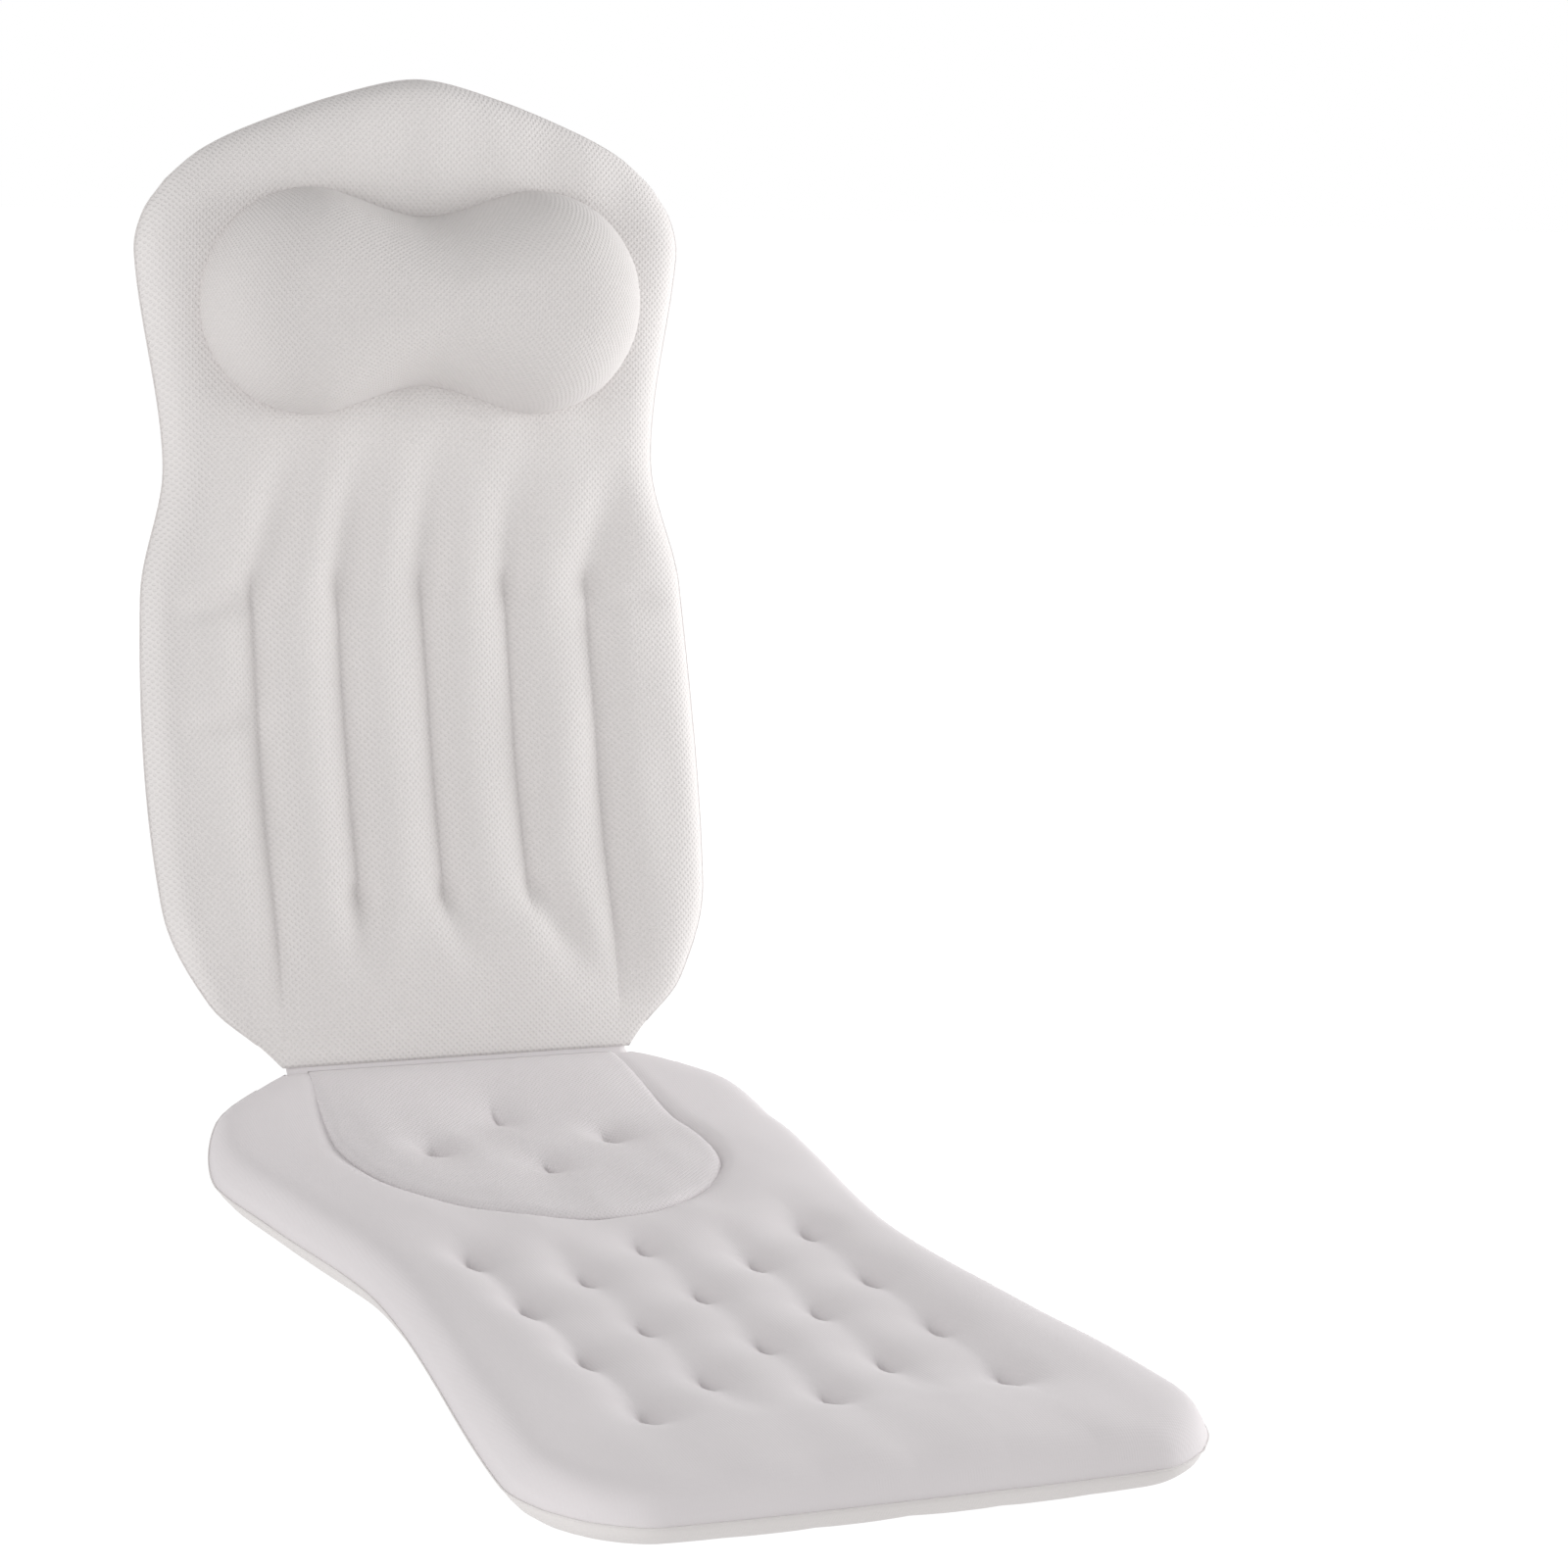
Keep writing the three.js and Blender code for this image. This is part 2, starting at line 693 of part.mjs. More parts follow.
// Bone-shaped outline of the head pillow: two round lobes and a narrower middle.
function pillowOutline(inset) {
  const radius = pillowLobeRadius - inset;
  const centre = pillowHalfLength - pillowLobeRadius;
  const lobe = (side) =>
    [-90, -54, -18, 18, 54, 90].map((degrees) => {
      const angle = THREE.MathUtils.degToRad(degrees);
      const point = new THREE.Vector3(centre + radius * Math.cos(angle), radius * Math.sin(angle), 0);
      return point.multiplyScalar(side);
    });
  const waist = pillowWaistHalfHeight - inset;
  const points = [...lobe(1), new THREE.Vector3(0, waist, 0), ...lobe(-1), new THREE.Vector3(0, -waist, 0)];
  const curve = new THREE.CatmullRomCurve3(points, true);
  return curve.getSpacedPoints(pillowPoints).slice(0, pillowPoints);
}

// Domed pillow body, drawn in all round by an inset, reaching down through the front of the back.
function pillowBody(panel, inset, skirt) {
  const outline = pillowOutline(inset);
  const edge = [...outline, outline[0]];
  const rise = pillowRise - inset;
  const onBack = (x, y, height) => {
    const station = pillowStation + y;
    return new THREE.Vector3(x, station, panel.frontHeight(x, station) + height);
  };
  const ring = (scale) =>
    outline.map((p) => {
      const x = p.x * scale;
      const y = p.y * scale;
      return onBack(x, y, rise * roundRise(distanceToLine(x, y, edge), pillowEdgeRadius - inset));
    });
  const foot = outline.map((p) => onBack(p.x, p.y, -skirt));
  const rings = [foot, ring(1), ...pillowRings.map(ring)];
  return toSolid(bodyOfRings(rings, onBack(0, 0, -skirt), onBack(0, 0, rise)));
}

function makePillow(panel, envelope) {
  const outer = pillowBody(panel, 0, pillowSkirt / 2);
  const hollow = pillowBody(panel, coverThickness, (pillowSkirt * 2) / 3);
  const fill = pillowBody(panel, coreInset, pillowSkirt / 2);
  return {
    cover: outer.subtract(hollow).subtract(envelope),
    fill: fill.subtract(envelope),
  };
}

// Sewn bead on the fold line, between the two panels' ends.
function makeFoldSeam() {
  const length = 2 * (waistHalfWidth - coverThickness);
  const geometry = new THREE.CylinderGeometry(foldBeadRadius, foldBeadRadius, length, foldBeadSides);
  return namedMesh('fold_seam', geometry.rotateZ(Math.PI / 2), meshCloth);
}

function makeLegGroup() {
  const panel = makeLegPanel();
  const solids = panel.solids();
  const cupPlace = { spread: legCupSpread, first: legCupFirst, last: legCupLast, leftSide: 1 };
  const cups = fitCups(panel, solids, 'leg', cupPlace);
  const { seat, surround } = splitSeat(solids.front);
  const group = new THREE.Group();
  group.add(
    namedMesh('leg_top_cover', toGeometry(surround), knitCloth),
    namedMesh('seat_panel', toGeometry(seat), meshCloth),
    namedMesh('leg_core', toGeometry(solids.core), wadding),
    namedMesh('leg_bottom_cover', toGeometry(solids.rear), knitCloth),
    ...cups,
  );
  group.rotation.z = Math.PI;
  return group;
}

function makeBackGroup() {
  const panel = makeBackPanel();
  const solids = panel.solids();
  const cupPlace = { spread: backCupSpread, first: backCupFirst, last: backCupLast, leftSide: -1 };
  const cups = fitCups(panel, solids, 'back', cupPlace);
  const pillow = makePillow(panel, solids.frontEnvelope);
  const group = new THREE.Group();
  group.add(
    namedMesh('back_front_cover', toGeometry(solids.front), meshCloth),
    namedMesh('back_core', toGeometry(solids.core), wadding),
    namedMesh('back_rear_cover', toGeometry(solids.rear), meshCloth),
    namedMesh('head_pillow_cover', toGeometry(pillow.cover), meshCloth),
    namedMesh('head_pillow_fill', toGeometry(pillow.fill), wadding),
    ...cups,
  );
  group.rotation.x = THREE.MathUtils.degToRad(90 - backLean);
  return group;
}

// The origin is under the middle of the whole part, on the tub floor.
const part = new THREE.Group();
part.add(makeLegGroup(), makeBackGroup(), makeFoldSeam());
part.updateMatrixWorld(true);
const box = new THREE.Box3().setFromObject(part, true);
part.position.set(0, -(box.min.y + box.max.y) / 2, -box.min.z);
part.updateMatrixWorld(true);

export default part;
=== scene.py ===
"""Full-body bath pillow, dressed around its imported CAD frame.

The padded panels are built as flat grids of cloth, filled by a short cloth simulation that is held
at the sewn lines, and laid over the CAD bodies. Lengths are in metres.
"""

import logging
import math
from dataclasses import dataclass, field
from enum import Enum
from functools import cache

import bmesh
import bpy
import numpy as np
from mathutils import Matrix, Vector, noise
from mathutils.bvhtree import BVHTree


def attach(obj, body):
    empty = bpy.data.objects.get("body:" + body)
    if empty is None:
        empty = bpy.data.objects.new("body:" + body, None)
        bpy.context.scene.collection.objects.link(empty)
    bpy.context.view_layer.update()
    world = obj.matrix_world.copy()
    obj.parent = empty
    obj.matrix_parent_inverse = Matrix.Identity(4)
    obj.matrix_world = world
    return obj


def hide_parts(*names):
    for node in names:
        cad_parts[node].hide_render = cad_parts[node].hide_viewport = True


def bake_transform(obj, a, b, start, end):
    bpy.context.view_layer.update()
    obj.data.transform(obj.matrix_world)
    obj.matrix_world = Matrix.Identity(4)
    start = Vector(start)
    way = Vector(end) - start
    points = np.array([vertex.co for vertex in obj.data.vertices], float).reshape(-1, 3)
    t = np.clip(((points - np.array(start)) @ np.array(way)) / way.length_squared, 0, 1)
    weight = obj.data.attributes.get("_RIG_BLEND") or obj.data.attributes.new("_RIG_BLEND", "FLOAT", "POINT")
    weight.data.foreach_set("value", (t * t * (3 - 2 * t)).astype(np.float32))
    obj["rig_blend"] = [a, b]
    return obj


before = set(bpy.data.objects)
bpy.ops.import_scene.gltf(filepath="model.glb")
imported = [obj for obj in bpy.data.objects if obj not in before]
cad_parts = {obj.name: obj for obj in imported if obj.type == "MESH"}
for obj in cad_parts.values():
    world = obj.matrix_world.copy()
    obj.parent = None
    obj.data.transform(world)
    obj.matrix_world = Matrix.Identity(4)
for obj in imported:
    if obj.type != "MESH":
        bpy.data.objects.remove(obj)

LOG = logging.getLogger("bath_pillow")
TINY = 1e-6

Array = np.ndarray
Place = tuple[float, float]
Point = tuple[float, float, float]
Piece = bpy.types.Object
Mesh = bpy.types.Mesh
Material = bpy.types.Material
Pattern = bpy.types.NodeTree
Outputs = bpy.types.NodeOutputs
Socket = bpy.types.NodeSocket
Shape = bmesh.types.BMesh


class Body(str, Enum):
    """The two CAD bodies that the fold joins."""

    LEG = "leg_panel"
    BACK = "back_panel"


class Slot(str, Enum):
    """The record's material slots."""

    MESH = "air_mesh"
    KNIT = "knit_cloth"
    VINYL = "soft_vinyl"


def smoothstep(value: Array, low: float, high: float) -> Array:
    """Smooth step from 0 at low to 1 at high."""
    t = np.clip((value - low) / (high - low), 0.0, 1.0)
    return t * t * (3.0 - 2.0 * t)


def round_rise(depth: Array, radius: float) -> Array:
    """Quarter-round rise from 0 at an edge to 1 at the radius."""
    t = np.clip(depth / radius, 0.0, 1.0)
    return np.sqrt(1.0 - (1.0 - t) ** 2)


def soft_least(first: Array, second: Array, power: float = 4.0) -> Array:
    """Smaller of two depths, rounded where they are equal."""
    total = np.maximum(first, TINY) ** -power + np.maximum(second, TINY) ** -power
    return total ** (-1.0 / power)


def bell(distance: Array, width: float) -> Array:
    """Bell-shaped share, 1 at the middle."""
    return np.exp(-((distance / width) ** 2))


def crease(distance: Array, sharp: float, soft: float, share: float = 0.6) -> Array:
    """Sewn valley, 1 on its line: a crisp part of some share and reach, with soft shoulders."""
    return share * np.exp(-np.abs(distance) / sharp) + (1.0 - share) * bell(distance, soft)


def run_along(line: Array) -> Array:
    """Distance along a line at each of its points."""
    return np.concatenate([[0.0], np.cumsum(np.linalg.norm(np.diff(line, axis=0), axis=1))])


def distance_to_line(x: Array, y: Array, line: Array) -> Array:
    """Distance from flat points to the nearest segment of a line.

    Args:
        x: Places across.
        y: Places along.
        line: Points of the line, one row each.

    Returns:
        One distance for each point.
    """
    best = np.full(x.shape, np.inf)
    for start, run in zip(line[:-1], np.diff(line, axis=0)):
        dx, dy = x - start[0], y - start[1]
        t = np.clip((dx * run[0] + dy * run[1]) / max(float(run @ run), TINY**3), 0.0, 1.0)
        best = np.minimum(best, np.hypot(dx - t * run[0], dy - t * run[1]))
    return best


def smooth_distance(x: Array, y: Array, line: Array, power: float = 6.0) -> Array:
    """Distance to a line that has no ridge where two parts of the line are equally far.

    Args:
        x: Places across.
        y: Places along.
        line: Points of the line, one row each.
        power: Higher values come nearer the true distance.

    Returns:
        One distance for each point, the true one close to the line.
    """
    least, true_reach, smooth_reach, stride = 1e-4, 0.008, 0.030, 3
    total = np.zeros(x.shape)
    coarse = np.vstack([line[:-1:stride], line[-1:]])
    for start, end in zip(coarse[:-1], coarse[1:]):
        middle = (start + end) / 2.0
        away = np.hypot(x - middle[0], y - middle[1])
        total += math.dist(start, end) * np.maximum(away, least) ** -power
    # What an endless straight line sums to at unit distance.
    straight = math.sqrt(math.pi) * math.gamma((power - 1.0) / 2.0) / math.gamma(power / 2.0)
    far = (total / straight) ** (-1.0 / (power - 1.0))
    near = distance_to_line(x, y, line)
    return near + smoothstep(near, true_reach, smooth_reach) * (far - near)


def read_points(mesh: Mesh) -> Array:
    """Reads the vertices of a mesh.

    Args:
        mesh: The mesh.

    Returns:
        Places, one row each.
    """
    flat = np.empty(len(mesh.vertices) * 3)
    mesh.vertices.foreach_get("co", flat)
    return flat.reshape(-1, 3)


def write_points(mesh: Mesh, points: Array) -> None:
    """Moves the vertices of a mesh."""
    mesh.vertices.foreach_set("co", points.ravel())
    mesh.update()


def new_object(name: str, shape: Shape, smooth: bool = True) -> Piece:
    """Makes an object from a finished bmesh.

    Args:
        name: Piece name.
        shape: The shape, which is freed.
        smooth: Whether its faces are shaded smooth.

    Returns:
        The linked object.
    """
    bmesh.ops.recalc_face_normals(shape, faces=shape.faces)
    mesh = bpy.data.meshes.new(name)
    shape.to_mesh(mesh)
    shape.free()
    mesh.polygons.foreach_set("use_smooth", [smooth] * len(mesh.polygons))
    return link(name, mesh)


def link(name: str, data: bpy.types.ID) -> Piece:
    """Puts an object with some data into the scene.

    Args:
        name: Object name.
        data: Its mesh, light or camera.

    Returns:
        The object.
    """
    piece = bpy.data.objects.new(name, data)
    bpy.context.scene.collection.objects.link(piece)
    return piece


def refine(piece: Piece) -> None:
    """Subdivides a filled piece once and keeps the result.

    Args:
        piece: The piece, whose mesh is replaced.
    """
    smooth = piece.modifiers.new("smooth", "SUBSURF")
    smooth.levels = 1
    smooth.render_levels = 1
    shown = piece.evaluated_get(bpy.context.evaluated_depsgraph_get())
    fine = bpy.data.meshes.new_from_object(shown)
    piece.modifiers.clear()
    rough = piece.data
    piece.data = fine
    bpy.data.meshes.remove(rough)
    fine.name = piece.name


def hand_over(piece: Piece, body: Body, nodes: tuple[str, ...]) -> None:
    """Gives a piece to its body.

    Args:
        piece: The finished piece.
        body: Body that it rides on.
        nodes: CAD nodes that it stands for.
    """
    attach(piece, body.value)
    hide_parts(*nodes)


@dataclass(frozen=True)
class Curve:
    """Smooth curve through a few (station, value) knots."""

    knots: tuple[Place, ...]

    def mirrored(self) -> "Curve":
        """The same curve over both signs of the station."""
        left = tuple((-s, v) for s, v in reversed(self.knots[1:]))
        return Curve(left + self.knots)

    def __call__(self, station: Array) -> Array:
        """Reads the curve, which is level beyond its ends.

        Args:
            station: Where to read it.

        Returns:
            One value for each station.
        """
        places, values = np.array(self.knots).T
        ends = np.diff(values) / np.diff(places)
        middle = (values[2:] - values[:-2]) / (places[2:] - places[:-2])
        slopes = np.concatenate([ends[:1], middle, ends[-1:]])
        s = np.clip(station, places[0], places[-1])
        i = np.clip(np.searchsorted(places, s), 1, len(places) - 1)
        run = places[i] - places[i - 1]
        t = (s - places[i - 1]) / run
        bend = slopes[i - 1] * t * (1.0 - t) ** 2 - slopes[i] * t * t * (1.0 - t)
        return values[i - 1] + (values[i] - values[i - 1]) * smoothstep(t, 0.0, 1.0) + run * bend


class Graph:
    """A node tree with short calls to add and join nodes."""

    def __init__(self, tree: Pattern) -> None:
        """Keeps the tree."""
        self.tree = tree

    @classmethod
    def on(cls, owner: Material | bpy.types.World) -> "Graph":
        """Starts an empty graph.

        Args:
            owner: Material or world that shows it.

        Returns:
            The graph.
        """
        owner.use_nodes = True
        owner.node_tree.nodes.clear()
        return cls(owner.node_tree)

    def add(self, kind: str, inputs: dict | None = None, **settings: object) -> Outputs:
        """Adds a node.

        Args:
            kind: Node type.
            inputs: Values or output sockets for its inputs, by name or number.
            **settings: Plain properties of the node.

        Returns:
            Its outputs.
        """
        node = self.tree.nodes.new(kind)
        for name, value in settings.items():
            setattr(node, name, value)
        for name, value in (inputs or {}).items():
            if isinstance(value, Socket):
                self.tree.links.new(value, node.inputs[name])
            else:
                node.inputs[name].default_value = value
        return node.outputs

    def math(self, operation: str, first: object, second: object = 0.0) -> Socket:
        """Adds a sum on one or two values and returns its output."""
        return self.add("ShaderNodeMath", {0: first, 1: second}, operation=operation)[0]

    def scale(self, vector: Socket, by: object) -> Socket:
        """Adds a scaled vector and returns its output."""
        inputs = {0: vector, "Scale": by}
        return self.add("ShaderNodeVectorMath", inputs, operation="SCALE")[0]

    def mix(self, share: object, first: object, second: object) -> Socket:
        """Adds a mix of two colours and returns its output."""
        inputs = {0: share, 6: first, 7: second}
        return self.add("ShaderNodeMix", inputs, data_type="RGBA")[2]

    def between(self, share: object, low: float, high: float) -> Socket:
        """Adds a mix of two numbers and returns its output."""
        return self.add("ShaderNodeMix", {0: share, 2: low, 3: high})[0]

    def group(self, tree: Pattern, inputs: dict) -> Outputs:
        """Adds a pattern group and returns its outputs."""
        return self.add("ShaderNodeGroup", inputs, node_tree=tree)

    def surface(self, kind: str, inputs: dict) -> None:
        """Adds a shader and shows it on the material."""
        self.add("ShaderNodeOutputMaterial", {"Surface": self.add(kind, inputs)[0]})

    def seen(self) -> Socket:
        """Adds a number that is one where the camera sees a place, also in or through a shiny piece.

        Returns:
            Its output.
        """
        path = self.add("ShaderNodeLightPath")
        mirrored = self.math("MAXIMUM", path["Is Glossy Ray"], path["Is Transmission Ray"])
        return self.math("MAXIMUM", path["Is Camera Ray"], mirrored)


def new_group(name: str, inputs: tuple[str, ...], outputs: tuple[str, ...]) -> tuple[Graph, Outputs]:
    """Makes a pattern group that takes a vector and numbers and gives numbers.

    Args:
        name: Group name.
        inputs: Names of the numbers that go in after the vector.
        outputs: Names of the numbers that come out.

    Returns:
        A graph on the group, and what goes in.
    """
    tree = bpy.data.node_groups.new(name, "ShaderNodeTree")
    tree.interface.new_socket("Vector", in_out="INPUT", socket_type="NodeSocketVector")
    for way, labels in (("INPUT", inputs), ("OUTPUT", outputs)):
        for label in labels:
            tree.interface.new_socket(label, in_out=way, socket_type="NodeSocketFloat")
    graph = Graph(tree)
    return graph, graph.add("NodeGroupInput")


@cache
def pores() -> Pattern:
    """Open holes of an air mesh on a diamond lattice, with the ribs between them.

    Returns:
        Group with Vector and Pitch in, Hole and Height out.
    """
    inner, outer, unevenness = 0.16, 0.42, 0.12
    graph, ins = new_group("mesh_pores", ("Pitch",), ("Hole", "Height"))
    scaled = graph.scale(ins["Vector"], graph.math("DIVIDE", 1.0, ins["Pitch"]))
    slant = {"Vector": scaled, "Angle": math.radians(45)}
    turned = graph.add("ShaderNodeVectorRotate", slant, rotation_type="Z_AXIS")[0]
    lattice = {"Vector": turned, "Scale": 1.0, "Randomness": unevenness}
    cells = graph.add("ShaderNodeTexVoronoi", lattice, voronoi_dimensions="2D")
    limits = {"Value": cells["Distance"], 1: inner, 2: outer, 3: 1.0, 4: 0.0}
    # Mask of the pores: the air mesh paints shade into its colour there and sinks its height.
    shaded_pore = graph.add("ShaderNodeMapRange", limits, interpolation_type="SMOOTHSTEP")[0]
    graph.add("NodeGroupOutput", {"Hole": shaded_pore, "Height": graph.math("SUBTRACT", 1.0, shaded_pore)})
    return graph.tree


@cache
def wales() -> Pattern:
    """Fine loops of a smooth knit.

    Returns:
        Group with Vector and Pitch in, Height out.
    """
    loop_share = 0.72
    graph, ins = new_group("knit_wales", ("Pitch",), ("Height",))
    scaled = graph.scale(ins["Vector"], graph.math("DIVIDE", 2.0 * math.pi, ins["Pitch"]))
    parts = graph.add("ShaderNodeSeparateXYZ", {0: scaled})
    across = graph.math("SINE", parts["X"])
    along = graph.math("SINE", graph.math("MULTIPLY", parts["Y"], loop_share))
    both = graph.math("MULTIPLY", graph.math("ADD", across, along), 0.25)
    graph.add("NodeGroupOutput", {"Height": graph.math("ADD", both, 0.5)})
    return graph.tree


@cache
def mottle() -> Pattern:
    """Soft unevenness of dyed and handled cloth.

    Returns:
        Group with Vector in, Tone and Fuzz out, both around a half.
    """
    graph, ins = new_group("cloth_mottle", (), ("Tone", "Fuzz"))
    broad, fine = (
        graph.add("ShaderNodeTexNoise", {"Vector": ins["Vector"], "Scale": scale, "Detail": detail})[0]
        for scale, detail in ((9.0, 3.0), (900.0, 2.0))
    )
    graph.add("NodeGroupOutput", {"Tone": broad, "Fuzz": fine})
    return graph.tree


@dataclass(frozen=True)
class Cloth:
    """Common parts of the cloth finishes."""

    name: str
    colour: Point = (0.77, 0.74, 0.73)
    shade: Point = (0.725, 0.695, 0.685)
    roughness: float = 0.92
    sheen: float = 0.15
    sheen_roughness: float = 0.6
    specular: float = 0.2
    pitch: float = 0.0029
    relief: float = 0.0008
    fuzz: float = 0.15
    bump: float = 0.5

    def _pattern(self, graph: Graph, uv: Socket, ground: Socket) -> tuple[Socket, Socket]:
        """Adds the cloth's own pattern.

        Args:
            graph: Graph of the material.
            uv: Flat places on the cloth.
            ground: Mottled colour of the cloth.

        Returns:
            Colour and height with the pattern.
        """
        raise NotImplementedError

    @cache
    def material(self) -> Material:
        """Makes the finish once.

        Returns:
            The material.
        """
        material = bpy.data.materials.new(self.name)
        graph = Graph.on(material)
        places = graph.add("ShaderNodeTexCoord")
        tone = graph.group(mottle(), {"Vector": places["Object"]})
        ground = graph.mix(tone["Tone"], (*self.shade, 1.0), (*self.colour, 1.0))
        colour, pattern = self._pattern(graph, places["UV"], ground)
        height = graph.math("ADD", pattern, graph.math("MULTIPLY", tone["Fuzz"], self.fuzz))
        bump = {"Strength": self.bump, "Distance": self.relief, "Height": height}
        looks = {
            "Base Color": colour,
            "Roughness": self.roughness,
            "Sheen Weight": self.sheen,
            "Sheen Roughness": self.sheen_roughness,
            "Specular IOR Level": self.specular,
            "Normal": graph.add("ShaderNodeBump", bump)[0],
        }
        graph.surface("ShaderNodeBsdfPrincipled", looks)
        return material


@dataclass(frozen=True)
class AirMesh(Cloth):
    """Thick spacer knit with open pores, which have painted shade inside."""

    # Colour of the painted shade inside the pores, and how much of it is mixed in.
    shaded_pore: Point = (0.52, 0.50, 0.49)
    pore_shade_share: float = 0.16

    def _pattern(self, graph: Graph, uv: Socket, ground: Socket) -> tuple[Socket, Socket]:
        """Adds the pores, with painted shade inside them.

        Args:
            graph: Graph of the material.
            uv: Flat places on the cloth.
            ground: Mottled colour of the cloth.

        Returns:
            Colour with painted shade in the pores, and height with the pores.
        """
        holes = graph.group(pores(), {"Vector": uv, "Pitch": self.pitch})
        # Painted shade in the pores: the pore mask mixes in the shade colour.
        share = graph.math("MULTIPLY", holes["Hole"], self.pore_shade_share)
        return graph.mix(share, ground, (*self.shaded_pore, 1.0)), holes["Height"]


@dataclass(frozen=True)
class SmoothKnit(Cloth):
    """Plain fine knit of the leg cover and the rear covers."""

    pitch: float = 0.0016
    relief: float = 0.00013
    fuzz: float = 0.5

    def _pattern(self, graph: Graph, uv: Socket, ground: Socket) -> tuple[Socket, Socket]:
        """Adds the loops, which have the ground's colour."""
        return ground, graph.group(wales(), {"Vector": uv, "Pitch": self.pitch})["Height"]


@dataclass(frozen=True)
class SoftVinyl:
    """Matt soft plastic of the suction cups, in the frame's own colour."""

    name: str = "cup_vinyl"
    colour: Point = (0.8, 0.839216, 0.858824)
    roughness: float = 0.85
    bending: float = 1.5

    @cache
    def material(self) -> Material:
        """Makes the finish once.

        Returns:
            The material.
        """
        material = bpy.data.materials.new(self.name)
        looks = {
            "Base Color": (*self.colour, 1.0),
            "Roughness": self.roughness,
            "IOR": self.bending,
        }
        Graph.on(material).surface("ShaderNodeBsdfPrincipled", looks)
        return material


LEG_TONES = {"colour": (0.745, 0.71, 0.72), "shade": (0.70, 0.665, 0.675)}
# The head pillow's cloth is darker than the back's: partly its own greyer tone, partly painted shade for the
# dimmer light on its front.
PILLOW_GREY_AND_SHADE_TONES = {"colour": (0.705, 0.675, 0.665), "shade": (0.665, 0.635, 0.625)}
AIR_MESH = AirMesh("air_mesh_cloth")
PILLOW_GREY_AND_SHADE_MESH = AirMesh("pillow_mesh_cloth", **PILLOW_GREY_AND_SHADE_TONES)
SEAT_MESH = AirMesh("seat_mesh_cloth", **LEG_TONES, pitch=0.0022, relief=0.0004)
LEG_KNIT = SmoothKnit("leg_knit", **LEG_TONES)
REAR_KNIT = SmoothKnit("rear_knit", colour=(0.75, 0.72, 0.71), shade=(0.70, 0.67, 0.66))
THREAD = SmoothKnit("sewing_thread", shade=(0.72, 0.69, 0.68), pitch=0.0006)
VINYL = SoftVinyl()


@dataclass(frozen=True)
class Filling:
    """A short cloth simulation that fills a sewn shape."""

    cap: float
    slack: float
    pressure: float = 2.5
    frames: int = 20
    stiffness: float = 20.0
    bending: float = 0.4
    quality: int = 5
    mass: float = 0.2
    evening: int = 40
    shortest: float = 1e-5

    def swell(self, piece: Piece, sewn: Array) -> None:
        """Blows the piece up against its sewn lines and keeps the shape.

        Args:
            piece: Object whose mesh is the sewn shape.
            sewn: Whether each vertex is held.
        """
        start = read_points(piece.data)
        held = piece.vertex_groups.new(name="sewn")
        held.add(np.nonzero(sewn)[0].tolist(), 1.0, "REPLACE")
        cloth = piece.modifiers.new("filling", "CLOTH")
        settings = cloth.settings
        settings.quality = self.quality
        settings.mass = self.mass
        settings.tension_stiffness = self.stiffness
        settings.compression_stiffness = self.stiffness
        settings.shear_stiffness = self.stiffness / 3.0
        settings.bending_stiffness = self.bending
        settings.use_pressure = True
        settings.uniform_pressure_force = self.pressure
        settings.shrink_min = -self.slack
        settings.vertex_group_mass = held.name
        settings.effector_weights.gravity = 0.0
        cloth.collision_settings.use_collision = False
        cloth.point_cache.frame_start = 1
        cloth.point_cache.frame_end = self.frames
        scene = bpy.context.scene
        for number in range(1, self.frames + 1):
            scene.frame_set(number)
        shown = piece.evaluated_get(bpy.context.evaluated_depsgraph_get())
        moved = read_points(shown.data) - start
        piece.modifiers.remove(cloth)
        piece.vertex_groups.remove(held)
        scene.frame_set(1)
        moved = self._evened(piece.data, moved, sewn)
        reach = np.linalg.norm(moved, axis=1, keepdims=True)
        LOG.info("%s swells by up to %.1f mm", piece.name, 1000.0 * float(reach.max()))
        limited = self.cap * np.tanh(reach / self.cap) / np.maximum(reach, TINY)
        write_points(piece.data, start + moved * limited)

    def _evened(self, mesh: Mesh, moved: Array, sewn: Array) -> Array:
        """Spreads the movement evenly over cloth that is divided unevenly.

        Args:
            mesh: Mesh of the piece.
            moved: Movement of each vertex.
            sewn: Whether each vertex is held.

        Returns:
            The evened movement.
        """
        ends = np.empty(len(mesh.edges) * 2, dtype=np.int32)
        mesh.edges.foreach_get("vertices", ends)
        first, second = ends.reshape(-1, 2).T
        count = len(moved)
        points = read_points(mesh)
        lengths = np.linalg.norm(points[first] - points[second], axis=1)
        pull = 1.0 / np.maximum(lengths, self.shortest)
        whole = np.bincount(first, pull, count) + np.bincount(second, pull, count)
        free = (~sewn)[:, None]
        # Short edges pull more, so that crowded rows don't count twice.
        for _ in range(self.evening):
            total = np.empty_like(moved)
            for axis in range(3):
                total[:, axis] = np.bincount(first, pull * moved[second, axis], count)
                total[:, axis] += np.bincount(second, pull * moved[first, axis], count)
            moved = free * (moved + total / whole[:, None]) / 2.0
        return moved


